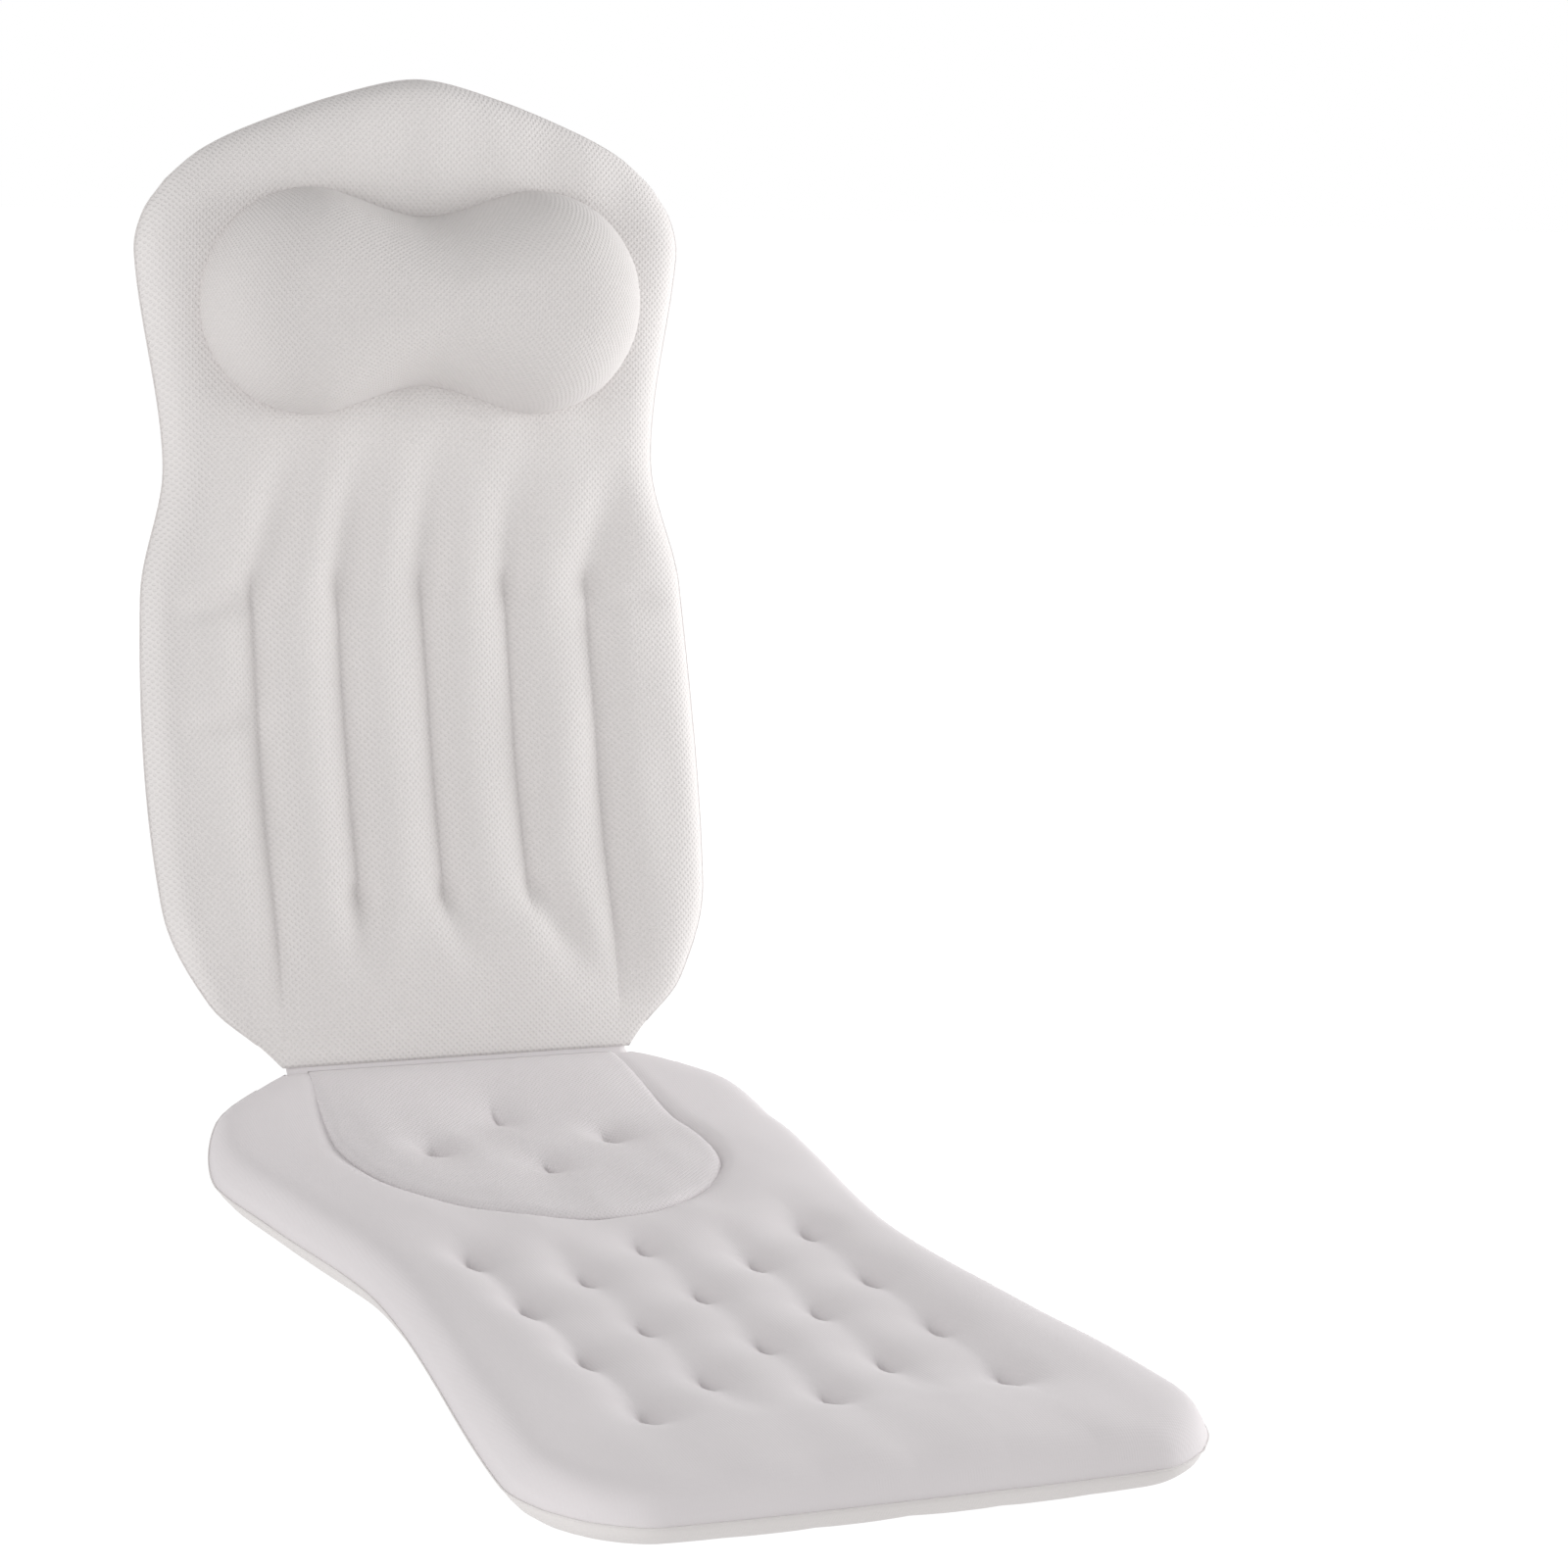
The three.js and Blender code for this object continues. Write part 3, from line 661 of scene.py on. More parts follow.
@dataclass
class Outline:
    """Flat outline that runs straight at the fold, has shaped sides and a rounded end."""

    side: Curve
    end: Curve
    bend: float
    corner_half: float
    corner_station: float
    columns: Array
    outer: int = 13
    spread: float = 1.35
    start: float = 0.0012
    margin: float = 0.024

    @property
    def length(self) -> float:
        """Station of the middle of the end."""
        return self.end.knots[0][1]

    @staticmethod
    def clustered(pitch: float, count: int) -> Array:
        """Columns that crowd round every multiple of a pitch.

        Args:
            pitch: Distance between the crowds.
            count: Number of spans between them.

        Returns:
            Places across, from the middle outwards.
        """
        half = np.array([0.0, 0.02, 0.05, 0.10, 0.17, 0.26, 0.37, 0.5])
        span = np.concatenate([half, 1.0 - half[-2::-1]])
        spans = [span[:-1] + i for i in range(count)]
        return np.concatenate([*spans, [float(count)]]) * pitch

    def place(self, across: Array, station: Array) -> tuple[Array, Array]:
        """Place of grid points.

        Args:
            across: Column from -1 to 1.
            station: Row station along the panel.

        Returns:
            Places across and along.
        """
        # Rows past the bend fan out to the curved end.
        share = np.clip((station - self.bend) / (self.length - self.bend), 0.0, 1.0)
        bent = self.bend + share * (self.corner_station - self.bend)
        half = self.side(np.where(share > 0.0, bent, station))
        last = len(self.columns) - 1
        draw = np.minimum(1.0, (half - self.margin) / self.columns[last])
        number = np.abs(across) * (last + self.outer)
        kept = np.interp(number, np.arange(last + 1), self.columns) * draw
        beyond = np.clip((number - last) / self.outer, 0.0, 1.0) ** self.spread
        x = np.sign(across) * (kept + beyond * (half - kept))
        reach = self.end.mirrored()(x / half * self.corner_half)
        y = np.where(share > 0.0, self.bend + share * (reach - self.bend), station)
        return x, y

    def edge(self, steps: int = 120) -> Array:
        """Draws the sewn edge from one fold corner round to the other.

        Args:
            steps: Number of points on each side.

        Returns:
            Points, one row each.
        """
        stations = np.linspace(self.start, self.length, steps)
        right = np.column_stack(self.place(np.ones(steps), stations))
        across = np.linspace(1.0, -1.0, steps // 2)
        far = np.column_stack(self.place(across, np.full(steps // 2, self.length)))
        left = right[::-1] * np.array([-1.0, 1.0])
        return np.vstack([right, far[1:-1], left])

    def inside(self, x: Array, y: Array) -> Array:
        """Whether flat points lie inside the outline."""
        return (np.abs(x) <= self.side(y)) & (y <= self.end.mirrored()(x))


@dataclass
class SewnPad:
    """A closed pad of cloth: a front and a rear grid sewn together round the edge."""

    name: str = "pad"
    body: Body = Body.LEG
    slot: Slot = Slot.MESH
    replaced: tuple[str, ...] = ()
    finish: Cloth = AIR_MESH
    rear_finish: Cloth = REAR_KNIT
    fill: float = 0.7
    filling: Filling = Filling(cap=0.004, slack=0.005)
    waist: float = 0.119
    full_rise: float = 0.020
    edge_radius: float = 0.026
    crown_radius: float = 0.085
    crown_share: float = 0.28
    rear_radius: float = 0.024
    rear_share: float = 0.3
    fold_y: float = 0.248519
    fold_height: float = 0.066
    fold_level: float = -0.0019
    fold_rise: float = 0.00175
    fold_edge: float = 0.0012
    fold_run: float = 0.095
    fold_row: float = 0.012
    end_row: float = 0.02
    row_step: float = 0.0054
    held_edge: float = 0.001
    held_fold: float = 0.010
    rumple: float = 0.0022
    rumple_size: Place = (0.034, 0.085)
    rim_crease: float = 0.8
    merged: float = 2e-5

    def __post_init__(self) -> None:
        """Draws the outline once."""
        self.outline = self.make_outline()
        self.edge = self.outline.edge()
        self.piece: Piece | None = None
        self.surface: BVHTree | None = None

    def make_outline(self) -> Outline:
        """Outline of this pad."""
        raise NotImplementedError

    def own_rows(self) -> tuple[float, ...]:
        """Stations between the fold and the end that need a row of their own."""
        raise NotImplementedError

    def sheet(self, y: Array) -> Array:
        """Level of the sewn edge along the panel."""
        raise NotImplementedError

    def rear_drop(self, y: Array) -> Array:
        """Height from the sewn edge down to the rear."""
        raise NotImplementedError

    def pull(self, x: Array, y: Array) -> Array:
        """Depth by which the sewing draws the cloth in."""
        raise NotImplementedError

    def front(self, x: Array, y: Array) -> Array:
        """Height of the front cloth before filling."""
        return self.plain(x, y) - self.pull(x, y)

    def rear(self, x: Array, y: Array) -> Array:
        """Height of the rear cloth before filling, with the sewing carried through."""
        return self.plain_rear(x, y) + self.rear_share * self.pull(x, y)

    def rim(self, x: Array, y: Array) -> Array:
        """Height of the seam that joins front and rear."""
        return self.sheet(y)

    def sewn_inside(self, x: Array, y: Array, z: Array) -> Array:
        """Whether points away from the edge are held while the pad is filled."""
        raise NotImplementedError

    def loose(self, x: Array, y: Array) -> Array:
        """Depth of loose folds in the filled front."""
        return np.zeros(x.shape)

    def turned(self) -> Matrix:
        """Half a turn, so that stations run towards the feet."""
        return Matrix.Rotation(math.pi, 4, "Z")

    def to_world(self) -> Matrix:
        """Matrix from the pad's own frame to the part's frame."""
        return Matrix.Translation((0.0, self.fold_y, self.fold_height)) @ self.turned()

    def flare(self, wide: Place, *shares: Place) -> tuple[Place, ...]:
        """Knots from the waist out to a wide place, between them at shares of its station and width."""
        turn = ((at * wide[0], self.waist + out * (wide[1] - self.waist)) for at, out in shares)
        return ((self.fold_edge, self.waist), *turn, wide)

    def ramp(self, y: Array) -> Array:
        """Share of the padding by distance from the fold."""
        return smoothstep(y, self.fold_edge, self.fold_run)

    def edge_depth(self, x: Array, y: Array) -> Array:
        """Distance to the sewn side and end edges."""
        return smooth_distance(x, y, self.edge)

    def edge_share(self, x: Array, y: Array) -> Array:
        """Rounded rise from the sewn edge."""
        return round_rise(self.edge_depth(x, y), self.edge_radius)

    def plain(self, x: Array, y: Array) -> Array:
        """Front height without any sewing in it.

        Args:
            x: Places across.
            y: Places along.

        Returns:
            One height for each place.
        """
        depth = self.edge_depth(x, y)
        low, high = round_rise(depth, self.edge_radius), round_rise(depth, self.crown_radius)
        crown = (1.0 - self.crown_share) * low + self.crown_share * high
        rise = self.fold_rise + (self.full_rise - self.fold_rise) * self.ramp(y)
        return self.sheet(y) + rise * crown

    def plain_rear(self, x: Array, y: Array) -> Array:
        """Rear height without any sewing in it, rounded at the edges."""
        depth = soft_least(self.edge_depth(x, y), y - self.fold_edge)
        return self.sheet(y) - self.rear_drop(y) * round_rise(depth, self.rear_radius)

    def rumpled(self, x: Array, y: Array) -> Array:
        """Slight unevenness of the filled cloth, none at the edges and the fold."""
        grain = [noise.noise((*at, len(self.name))) for at in np.column_stack([x, y]) / self.rumple_size]
        return self.rumple * np.array(grain) * self.edge_share(x, y) * self.ramp(y)

    def sewn(self, x: Array, y: Array, z: Array) -> Array:
        """Whether points are held while the pad is filled."""
        border = (self.edge_depth(x, y) < self.held_edge) | (y < self.held_fold)
        return border | self.sewn_inside(x, y, z)

    def row_stations(self) -> Array:
        """Spaces the rows evenly between the ones that are needed.

        Returns:
            Stations of all rows.
        """
        length = self.outline.length
        last = (length - self.end_row, length)
        keys = (self.outline.start, self.fold_row, *self.own_rows(), *last)
        rows = [np.array(keys[:1])]
        for low, high in zip(keys[:-1], keys[1:]):
            count = max(1, round((high - low) / self.row_step))
            rows.append(np.linspace(low, high, count + 1)[1:])
        return np.concatenate(rows)

    def _grid(self, shape: Shape, is_front: bool) -> None:
        """Adds one side's grid to the shape.

        Args:
            shape: Shape that takes the grid.
            is_front: Which side it is.
        """
        columns = 2 * (len(self.outline.columns) - 1 + self.outline.outer)
        stations = self.row_stations()
        rows = len(stations) - 1
        made = bmesh.ops.create_grid(shape, x_segments=columns, y_segments=rows, size=1.0)["verts"]
        flat = np.array([v.co for v in made])
        index = np.clip(np.rint((flat[:, 1] + 1.0) / 2.0 * rows).astype(int), 0, rows)
        x, y = self.outline.place(flat[:, 0], stations[index])
        z = self.front(x, y) if is_front else self.rear(x, y)
        rim = np.isclose(np.max(np.abs(flat[:, :2]), axis=1), 1.0, atol=1e-5)
        z[rim] = self.rim(x, y)[rim]
        uv = shape.loops.layers.uv["cloth"]
        facing = shape.verts.layers.float["front"]
        crease_edge = shape.edges.layers.float["crease_edge"]
        sewn_rim = {vertex for vertex, on_rim in zip(made, rim) if on_rim}
        for edge in {e for v in sewn_rim for e in v.link_edges}:
            edge[crease_edge] = self.rim_crease if sewn_rim.issuperset(edge.verts) else 0.0
        for vertex, place, on_rim in zip(made, np.column_stack([x, y, z]), rim):
            vertex.co = place
            vertex[facing] = float(is_front and not on_rim)
        for face in {f for v in made for f in v.link_faces}:
            face.material_index = 0 if is_front else 1
            for loop in face.loops:
                loop[uv].uv = loop.vert.co.xy

    def build(self) -> Piece:
        """Builds, fills and dresses the pad.

        Returns:
            The finished piece.
        """
        shape = bmesh.new()
        shape.loops.layers.uv.new("cloth")
        shape.verts.layers.float.new("front")
        shape.edges.layers.float.new("crease_edge")
        self._grid(shape, is_front=True)
        self._grid(shape, is_front=False)
        bmesh.ops.remove_doubles(shape, verts=shape.verts, dist=self.merged)
        piece = new_object(self.name, shape)
        flat = read_points(piece.data)
        self.filling.swell(piece, self.sewn(*flat.T))
        facing = np.empty(len(flat))
        piece.data.attributes["front"].data.foreach_get("value", facing)
        points = read_points(piece.data)
        x, y = flat[:, 0], flat[:, 1]
        points[:, 2] += facing * (self.rumpled(x, y) - self.loose(x, y))
        write_points(piece.data, points)
        refine(piece)
        piece.data.materials.append(self.finish.material())
        piece.data.materials.append(self.rear_finish.material())
        self.piece = piece
        self.surface = BVHTree.FromObject(piece, bpy.context.evaluated_depsgraph_get())
        return piece

    def level(self, x: float, y: float, above: float = 0.3) -> float:
        """Height of the finished front at a flat place."""
        hit = self.surface.ray_cast(Vector((x, y, above)), Vector((0.0, 0.0, -1.0)))[0]
        return hit.z if hit else 0.0

    def settle(self) -> None:
        """Moves the finished piece into the part's frame and gives it to its body."""
        self.piece.data.transform(self.to_world())
        hand_over(self.piece, self.body, self.replaced)


@dataclass
class LegPanel(SewnPad):
    """Seat and leg panel with staggered tufts and a recess for the seat pad."""

    name: str = "leg_cushion"
    slot: Slot = Slot.KNIT
    replaced: tuple[str, ...] = ("leg_top_cover", "leg_core", "leg_bottom_cover")
    finish: Cloth = LEG_KNIT
    filling: Filling = Filling(cap=0.006, slack=0.004)
    hip: Place = (0.090, 0.193)
    thigh: Place = (0.175, 0.185)
    knee: Place = (0.320, 0.169)
    foot: float = 0.203
    foot_radius: float = 0.078
    panel_length: float = 0.675
    full_rise: float = 0.022
    edge_radius: float = 0.021
    crown_share: float = 0.20
    seam_height: float = 0.024
    standoff: float = 0.009
    rumple: float = 0.0014
    tuft_across: float = 0.0535
    tuft_along: float = 0.0855
    tuft_first: float = 0.305
    tuft_rows: int = 7
    tuft_depth: float = 0.0085
    tuft_slit: float = 0.0055
    tuft_held: float = 0.0012
    tuft_line: float = 0.0026
    tuft_reach: float = 0.015
    valley: float = 0.0026
    valley_width: float = 0.012
    field_drop: float = 0.003
    recess: float = 0.004
    recess_edge: Place = (-0.006, 0.002)
    recess_at_fold: float = 0.2
    seat_length: float = 0.262
    seat_spread: float = 0.058
    seat_station: float = 0.113
    seat_reach: float = 0.046
    seat_pull: float = 0.0105
    seat_line: float = 0.004
    seat_soft: float = 0.018

    @property
    def tuft_last(self) -> float:
        """Station of the last row of tufts."""
        return self.tuft_station(self.tuft_rows - 1)

    def tuft_station(self, row: int) -> float:
        """Station of a row of tufts."""
        return self.tuft_first + row * self.tuft_along / 2.0

    def tufts(self) -> list[Place]:
        """Lays the tufts out in rows of three and two.

        Returns:
            Their places.
        """
        return [
            (column * self.tuft_across, self.tuft_station(row))
            for row in range(self.tuft_rows)
            for column in ((-1, 1) if row % 2 else (-2, 0, 2))
        ]

    def seat_tufts(self) -> list[Place]:
        """Diamond of four tufts that are sewn through the seat pad and this panel."""
        sides = [(side * self.seat_spread, self.seat_station) for side in (-1.0, 1.0)]
        return sides + [(0.0, self.seat_station + way * self.seat_reach) for way in (-1.0, 1.0)]

    def foot_corner(self, degrees: float) -> Place:
        """Finds a point on the foot corner's arc.

        Args:
            degrees: Turn from the side towards the end.

        Returns:
            Its half width and station.
        """
        turn = math.radians(degrees)
        return (
            self.foot - self.foot_radius * (1.0 - math.cos(turn)),
            self.panel_length - self.foot_radius * (1.0 - math.sin(turn)),
        )

    def make_outline(self) -> Outline:
        """Outline from the waist over hips, thighs and knees to the foot end.

        Returns:
            The outline, with columns through the tufts.
        """
        side, middle, toe, tip = (self.foot_corner(degrees) for degrees in (25.0, 45.0, 60.0, 75.0))
        sides = (
            *self.flare(self.hip, (0.15, 0.23), (0.45, 0.78)),
            self.thigh,
            self.knee,
            (self.panel_length - self.foot_radius, self.foot),
            side[::-1],
            middle[::-1],
        )
        end = Curve(((0.0, self.panel_length), tip, toe, middle))
        columns = Outline.clustered(self.tuft_across, 2)
        return Outline(Curve(sides), end, self.tuft_last, *middle, columns)

    def own_rows(self) -> tuple[float, ...]:
        """Rows at the seat's end and the tufts."""
        return (self.seat_length, *(self.tuft_station(row) for row in range(self.tuft_rows)))

    def sheet(self, y: Array) -> Array:
        """Level of the edge seam, rising to the fold."""
        drop = self.seam_height - self.fold_height - self.fold_level
        return self.fold_level + drop * smoothstep(y, 0.0, self.fold_run)

    def rear_drop(self, y: Array) -> Array:
        """Down to the cups' standoff."""
        return self.sheet(y) + self.fold_height - self.standoff

    def to_tufts(self, x: Array, y: Array, tufts: list[Place]) -> Array:
        """Finds the nearest tuft's short stitched line, which runs along the panel.

        Args:
            x: Places across.
            y: Places along.
            tufts: Places of the tufts.

        Returns:
            Distance from it at each place.
        """
        across, station = np.array(tufts).T[..., None]
        along = np.maximum(np.abs(y - station) - self.tuft_slit, 0.0)
        return np.hypot(x - across, along).min(axis=0)

    def pull(self, x: Array, y: Array) -> Array:
        """Depth by which the leg tufts draw the cloth in."""
        away = self.to_tufts(x, y, self.tufts())
        return self.tuft_depth * crease(away, self.tuft_line, self.tuft_reach)

    def front(self, x: Array, y: Array) -> Array:
        """Front height with tufts pulled in and a recess under the seat pad.

        Args:
            x: Places across.
            y: Places along.

        Returns:
            One height for each place.
        """
        lines = np.abs(np.mod(x / self.tuft_across + 0.5, 1.0) - 0.5) * self.tuft_across
        sunk = self.field_drop + self.valley * bell(lines, self.valley_width)
        under = crease(self.to_tufts(x, y, self.seat_tufts()), self.seat_line, self.seat_soft)
        height = self.plain(x, y) - self.in_field(x, y) * sunk
        height -= self.recess * self.under_seat(x, y) + self.seat_pull * under * self.ramp(y)
        return height - self.pull(x, y) * self.edge_share(x, y)

    def in_field(self, x: Array, y: Array) -> Array:
        """Finds the quilted field, which is flatter than its border.

        Args:
            x: Places across.
            y: Places along.

        Returns:
            Share by which each place lies in it.
        """
        inner, beside, before, behind = 0.004, 0.030, 0.035, 0.040
        half = 2.0 * self.tuft_across
        across = 1.0 - smoothstep(np.abs(x), half - inner, half + beside)
        along = smoothstep(y, self.tuft_first - before, self.tuft_first + inner)
        return across * along * (1.0 - smoothstep(y, self.tuft_last - inner, self.tuft_last + behind))

    def under_seat(self, x: Array, y: Array) -> Array:
        """Finds the recess under the seat pad.

        Args:
            x: Places across.
            y: Places along.

        Returns:
            Share of its depth at each place.
        """
        seat = SeatPad.seat_outline()
        away = distance_to_line(x, y, seat.edge())
        inside = smoothstep(np.where(seat.inside(x, y), away, -away), *self.recess_edge)
        return inside * (self.recess_at_fold + (1.0 - self.recess_at_fold) * self.ramp(y))

    def sewn_inside(self, x: Array, y: Array, z: Array) -> Array:
        """Holds the tufts and the recess."""
        tufts = self.to_tufts(x, y, self.tufts()) < self.tuft_held
        return tufts | ((self.under_seat(x, y) > 0.5) & (z > self.sheet(y)))


@dataclass
class SeatPad(SewnPad):
    """Tongue of air mesh let into the leg panel along a U seam, with four tufts."""

    name: str = "seat_pad"
    replaced: tuple[str, ...] = ("seat_panel",)
    fill: float = 0.5
    filling: Filling = Filling(cap=0.003, slack=0.004)
    finish: Cloth = SEAT_MESH
    rear_finish: Cloth = SEAT_MESH
    leg: LegPanel = field(kw_only=True)
    seam_depth: float = 0.0045
    seam_width: float = 0.009
    seam_at_fold: float = 0.25
    proud: float = 0.0006
    thickness: float = 0.0008
    bulge: float = 0.002
    bulge_radius: float = 0.01
    end_row: float = 0.012
    tuft_depth: float = 0.010
    tuft_reach: float = 0.014

    @staticmethod
    @cache
    def seat_outline() -> Outline:
        """Draws the U seam once.

        Returns:
            Its outline, with columns through the tufts.
        """
        corner = (0.0804, 0.2208)
        side = Curve(((0.0, 0.104), (0.065, 0.1138), (0.130, 0.117), (0.1784, 0.1069), corner[::-1]))
        end = Curve(((0.0, LegPanel.seat_length), (0.043, 0.2506), corner))
        bend = LegPanel.seat_station + LegPanel.seat_reach
        columns = Outline.clustered(LegPanel.seat_spread, 1)
        return Outline(side, end, bend, *corner, columns, start=0.0016, margin=0.02, spread=0.75)

    def make_outline(self) -> Outline:
        """The U seam."""
        return self.seat_outline()

    def own_rows(self) -> tuple[float, ...]:
        """Rows at the tufts."""
        middle, reach = self.leg.seat_station, self.leg.seat_reach
        return (middle - reach, middle, middle + reach)

    def seam_share(self, y: Array) -> Array:
        """Share of the seam's depth, less at the thin fold."""
        return self.seam_at_fold + (1.0 - self.seam_at_fold) * self.leg.ramp(y)

    def inner_depth(self, x: Array, y: Array) -> Array:
        """Distance to the seam or to the fold, whichever is nearer."""
        return np.minimum(self.edge_depth(x, y), np.maximum(y - self.outline.start, 0.0))

    def pull(self, x: Array, y: Array) -> Array:
        """Depth by which the seat's tufts draw the cloth in."""
        away = self.leg.to_tufts(x, y, self.leg.seat_tufts())
        return self.tuft_depth * crease(away, self.leg.tuft_line, self.tuft_reach) * self.leg.ramp(y)

    def front(self, x: Array, y: Array) -> Array:
        """Front height: level with the leg cover, drawn down at the U seam and the tufts."""
        rise = round_rise(self.inner_depth(x, y), self.seam_width)
        return self.rim(x, y) + self.seam_depth * self.seam_share(y) * rise - self.pull(x, y)

    def rear(self, x: Array, y: Array) -> Array:
        """Rear height: just under the bottom of the recess."""
        low = self.rim(x, y) - self.bulge * round_rise(self.inner_depth(x, y), self.bulge_radius)
        return np.minimum(low, self.front(x, y) - self.thickness)

    def rim(self, x: Array, y: Array) -> Array:
        """Seam height at the bottom of the U groove."""
        return self.leg.plain(x, y) + self.proud - self.seam_depth * self.seam_share(y)

    def sewn_inside(self, x: Array, y: Array, z: Array) -> Array:
        """Holds the tufts and the underside."""
        tufts = self.leg.to_tufts(x, y, self.leg.seat_tufts()) < self.leg.tuft_held
        return tufts | (z < self.front(x, y) - self.thickness / 2.0)


@dataclass(frozen=True)
class SoftFold:
    """A loose fold in the cloth that fades from its start to its end."""

    start: Place
    end: Place
    depth: float
    width: float

    def at(self, x: Array, y: Array) -> Array:
        """Measures the fold.

        Args:
            x: Places across.
            y: Places along.

        Returns:
            Its depth at each place.
        """
        before, full, fading = -0.06, 0.16, 0.3
        run = np.subtract(self.end, self.start)
        square = float(run @ run)
        dx, dy = x - self.start[0], y - self.start[1]
        t = (dx * run[0] + dy * run[1]) / square
        side = (dx * run[1] - dy * run[0]) / math.sqrt(square)
        fade = smoothstep(t, before, full) * (1.0 - smoothstep(t, fading, 1.0))
        return self.depth * fade * bell(side, self.width)


@dataclass
class BackPanel(SewnPad):
    """Back panel with five sewn channels, puffed wings and a bed for the head pillow."""

    name: str = "back_cushion"
    body: Body = Body.BACK
    replaced: tuple[str, ...] = ("back_front_cover", "back_core", "back_rear_cover")
    wing: Place = (0.105, 0.187)
    wing_top: Place = (0.305, 0.187)
    neck: Place = (0.388, 0.169)
    shoulder: Place = (0.522, 0.187)
    shoulder_turn: Place = (0.547, 0.1815)
    panel_length: float = 0.632
    rear_rise: float = 0.018
    bow: float = 0.042
    lean: float = 14.0
    channel_pitch: float = 0.058
    channel_depth: float = 0.0105
    channel_radius: float = 0.029
    channel_bottom: float = 0.095
    outer_bottom: float = 0.018
    channel_top: float = 0.316
    channel_fade: float = 0.034
    channel_beyond: float = 0.3
    channel_held: Place = (0.0015, 0.6)
    pillow_station: float = 0.490
    pillow_held: float = 0.006
    crest: tuple[Place, ...] = ((0.0, 0.0), (0.051, 0.010), (0.112, 0.031), (0.146, 0.0475), (0.167, 0.065))
    loose_folds: tuple[SoftFold, ...] = (
        SoftFold((-0.116, 0.294), (-0.078, 0.430), 0.0095, 0.015),
        SoftFold((-0.058, 0.296), (-0.034, 0.432), 0.0095, 0.015),
        SoftFold((0.0, 0.298), (0.012, 0.436), 0.0090, 0.015),
        SoftFold((0.058, 0.296), (0.063, 0.400), 0.0075, 0.014),
        SoftFold((0.116, 0.296), (0.136, 0.400), 0.0090, 0.016),
        SoftFold((-0.058, 0.116), (-0.064, 0.044), 0.0065, 0.012),
        SoftFold((0.0, 0.116), (0.014, 0.052), 0.0065, 0.012),
        SoftFold((0.058, 0.116), (0.108, 0.026), 0.0075, 0.012),
        SoftFold((-0.122, 0.302), (-0.184, 0.290), 0.0060, 0.008),
        SoftFold((-0.122, 0.226), (-0.184, 0.218), 0.0045, 0.007),
        SoftFold((0.122, 0.298), (0.184, 0.292), 0.0050, 0.008),
    )

    def make_outline(self) -> Outline:
        """Outline from the waist over wings, neck and shoulders to the crest.

        Returns:
            The outline, with columns through the channels.
        """
        end = Curve(tuple((across, self.panel_length - fall) for across, fall in self.crest))
        corner = end.knots[-1]
        sides = (
            *self.flare(self.wing, (0.15, 0.2), (0.4, 0.62)),
            self.wing_top,
            self.neck,
            self.shoulder,
            self.shoulder_turn,
            corner[::-1],
        )
        columns = Outline.clustered(self.channel_pitch, 2)
        return Outline(Curve(sides), end, self.pillow_station, *corner, columns)

    def own_rows(self) -> tuple[float, ...]:
        """Rows at the channel ends and the pillow."""
        return (self.outer_bottom, self.channel_bottom, self.channel_top, self.pillow_station)

    def turned(self) -> Matrix:
        """Leaned back about the fold line."""
        return Matrix.Rotation(math.radians(90.0 - self.lean), 4, "X")

    def sheet(self, y: Array) -> Array:
        """Level of the edge seam, bowed away from the bather."""
        t = y / self.panel_length
        return self.fold_level - 4.0 * self.bow * t * (1.0 - t)

    def rear_drop(self, y: Array) -> Array:
        """The same all over."""
        return np.full(y.shape, self.rear_rise)

    def channels(self) -> list[Place]:
        """Place across and bottom station of each channel."""
        bottoms = (self.outer_bottom, *[self.channel_bottom] * 3, self.outer_bottom)
        return [(number * self.channel_pitch, low) for number, low in enumerate(bottoms, start=-2)]

    def channel_share(self, bottom: float, y: Array) -> Array:
        """Fades a channel in and out along its run.

        Args:
            bottom: Station of its lower end.
            y: Places along.

        Returns:
            Share of its depth at each place.
        """
        beyond = self.channel_beyond * self.channel_fade
        low, top = bottom - beyond, self.channel_top + beyond
        start = smoothstep(y, low, low + self.channel_fade)
        return start * (1.0 - smoothstep(y, top - self.channel_fade, top))

    def pull(self, x: Array, y: Array) -> Array:
        """Measures how the channels draw the cloth in.

        Args:
            x: Places across.
            y: Places along.

        Returns:
            Depth at each place.
        """
        share = np.zeros(x.shape)
        for across, bottom in self.channels():
            near = 1.0 - np.clip(np.abs(x - across) / self.channel_radius, 0.0, 1.0)
            share = np.maximum(share, near**2 * self.channel_share(bottom, y))
        return self.channel_depth * share * self.ramp(y) * self.edge_share(x, y)

    def loose(self, x: Array, y: Array) -> Array:
        """Depth of the soft folds that run on from the channel ends and across the wings."""
        return np.max([fold.at(x, y) for fold in self.loose_folds], axis=0) * self.edge_share(x, y)

    def sewn_inside(self, x: Array, y: Array, z: Array) -> Array:
        """Holds the channel lines and the bed of the pillow.

        Args:
            x: Places across.
            y: Places along.
            z: Heights.

        Returns:
            Whether each point is held.
        """
        width, share = self.channel_held
        held = HeadPillow.depth_inside(x, y - self.pillow_station) > self.pillow_held
        held &= z > self.sheet(y)
        for across, bottom in self.channels():
            held |= (np.abs(x - across) < width) & (self.channel_share(bottom, y) > share)
        return held


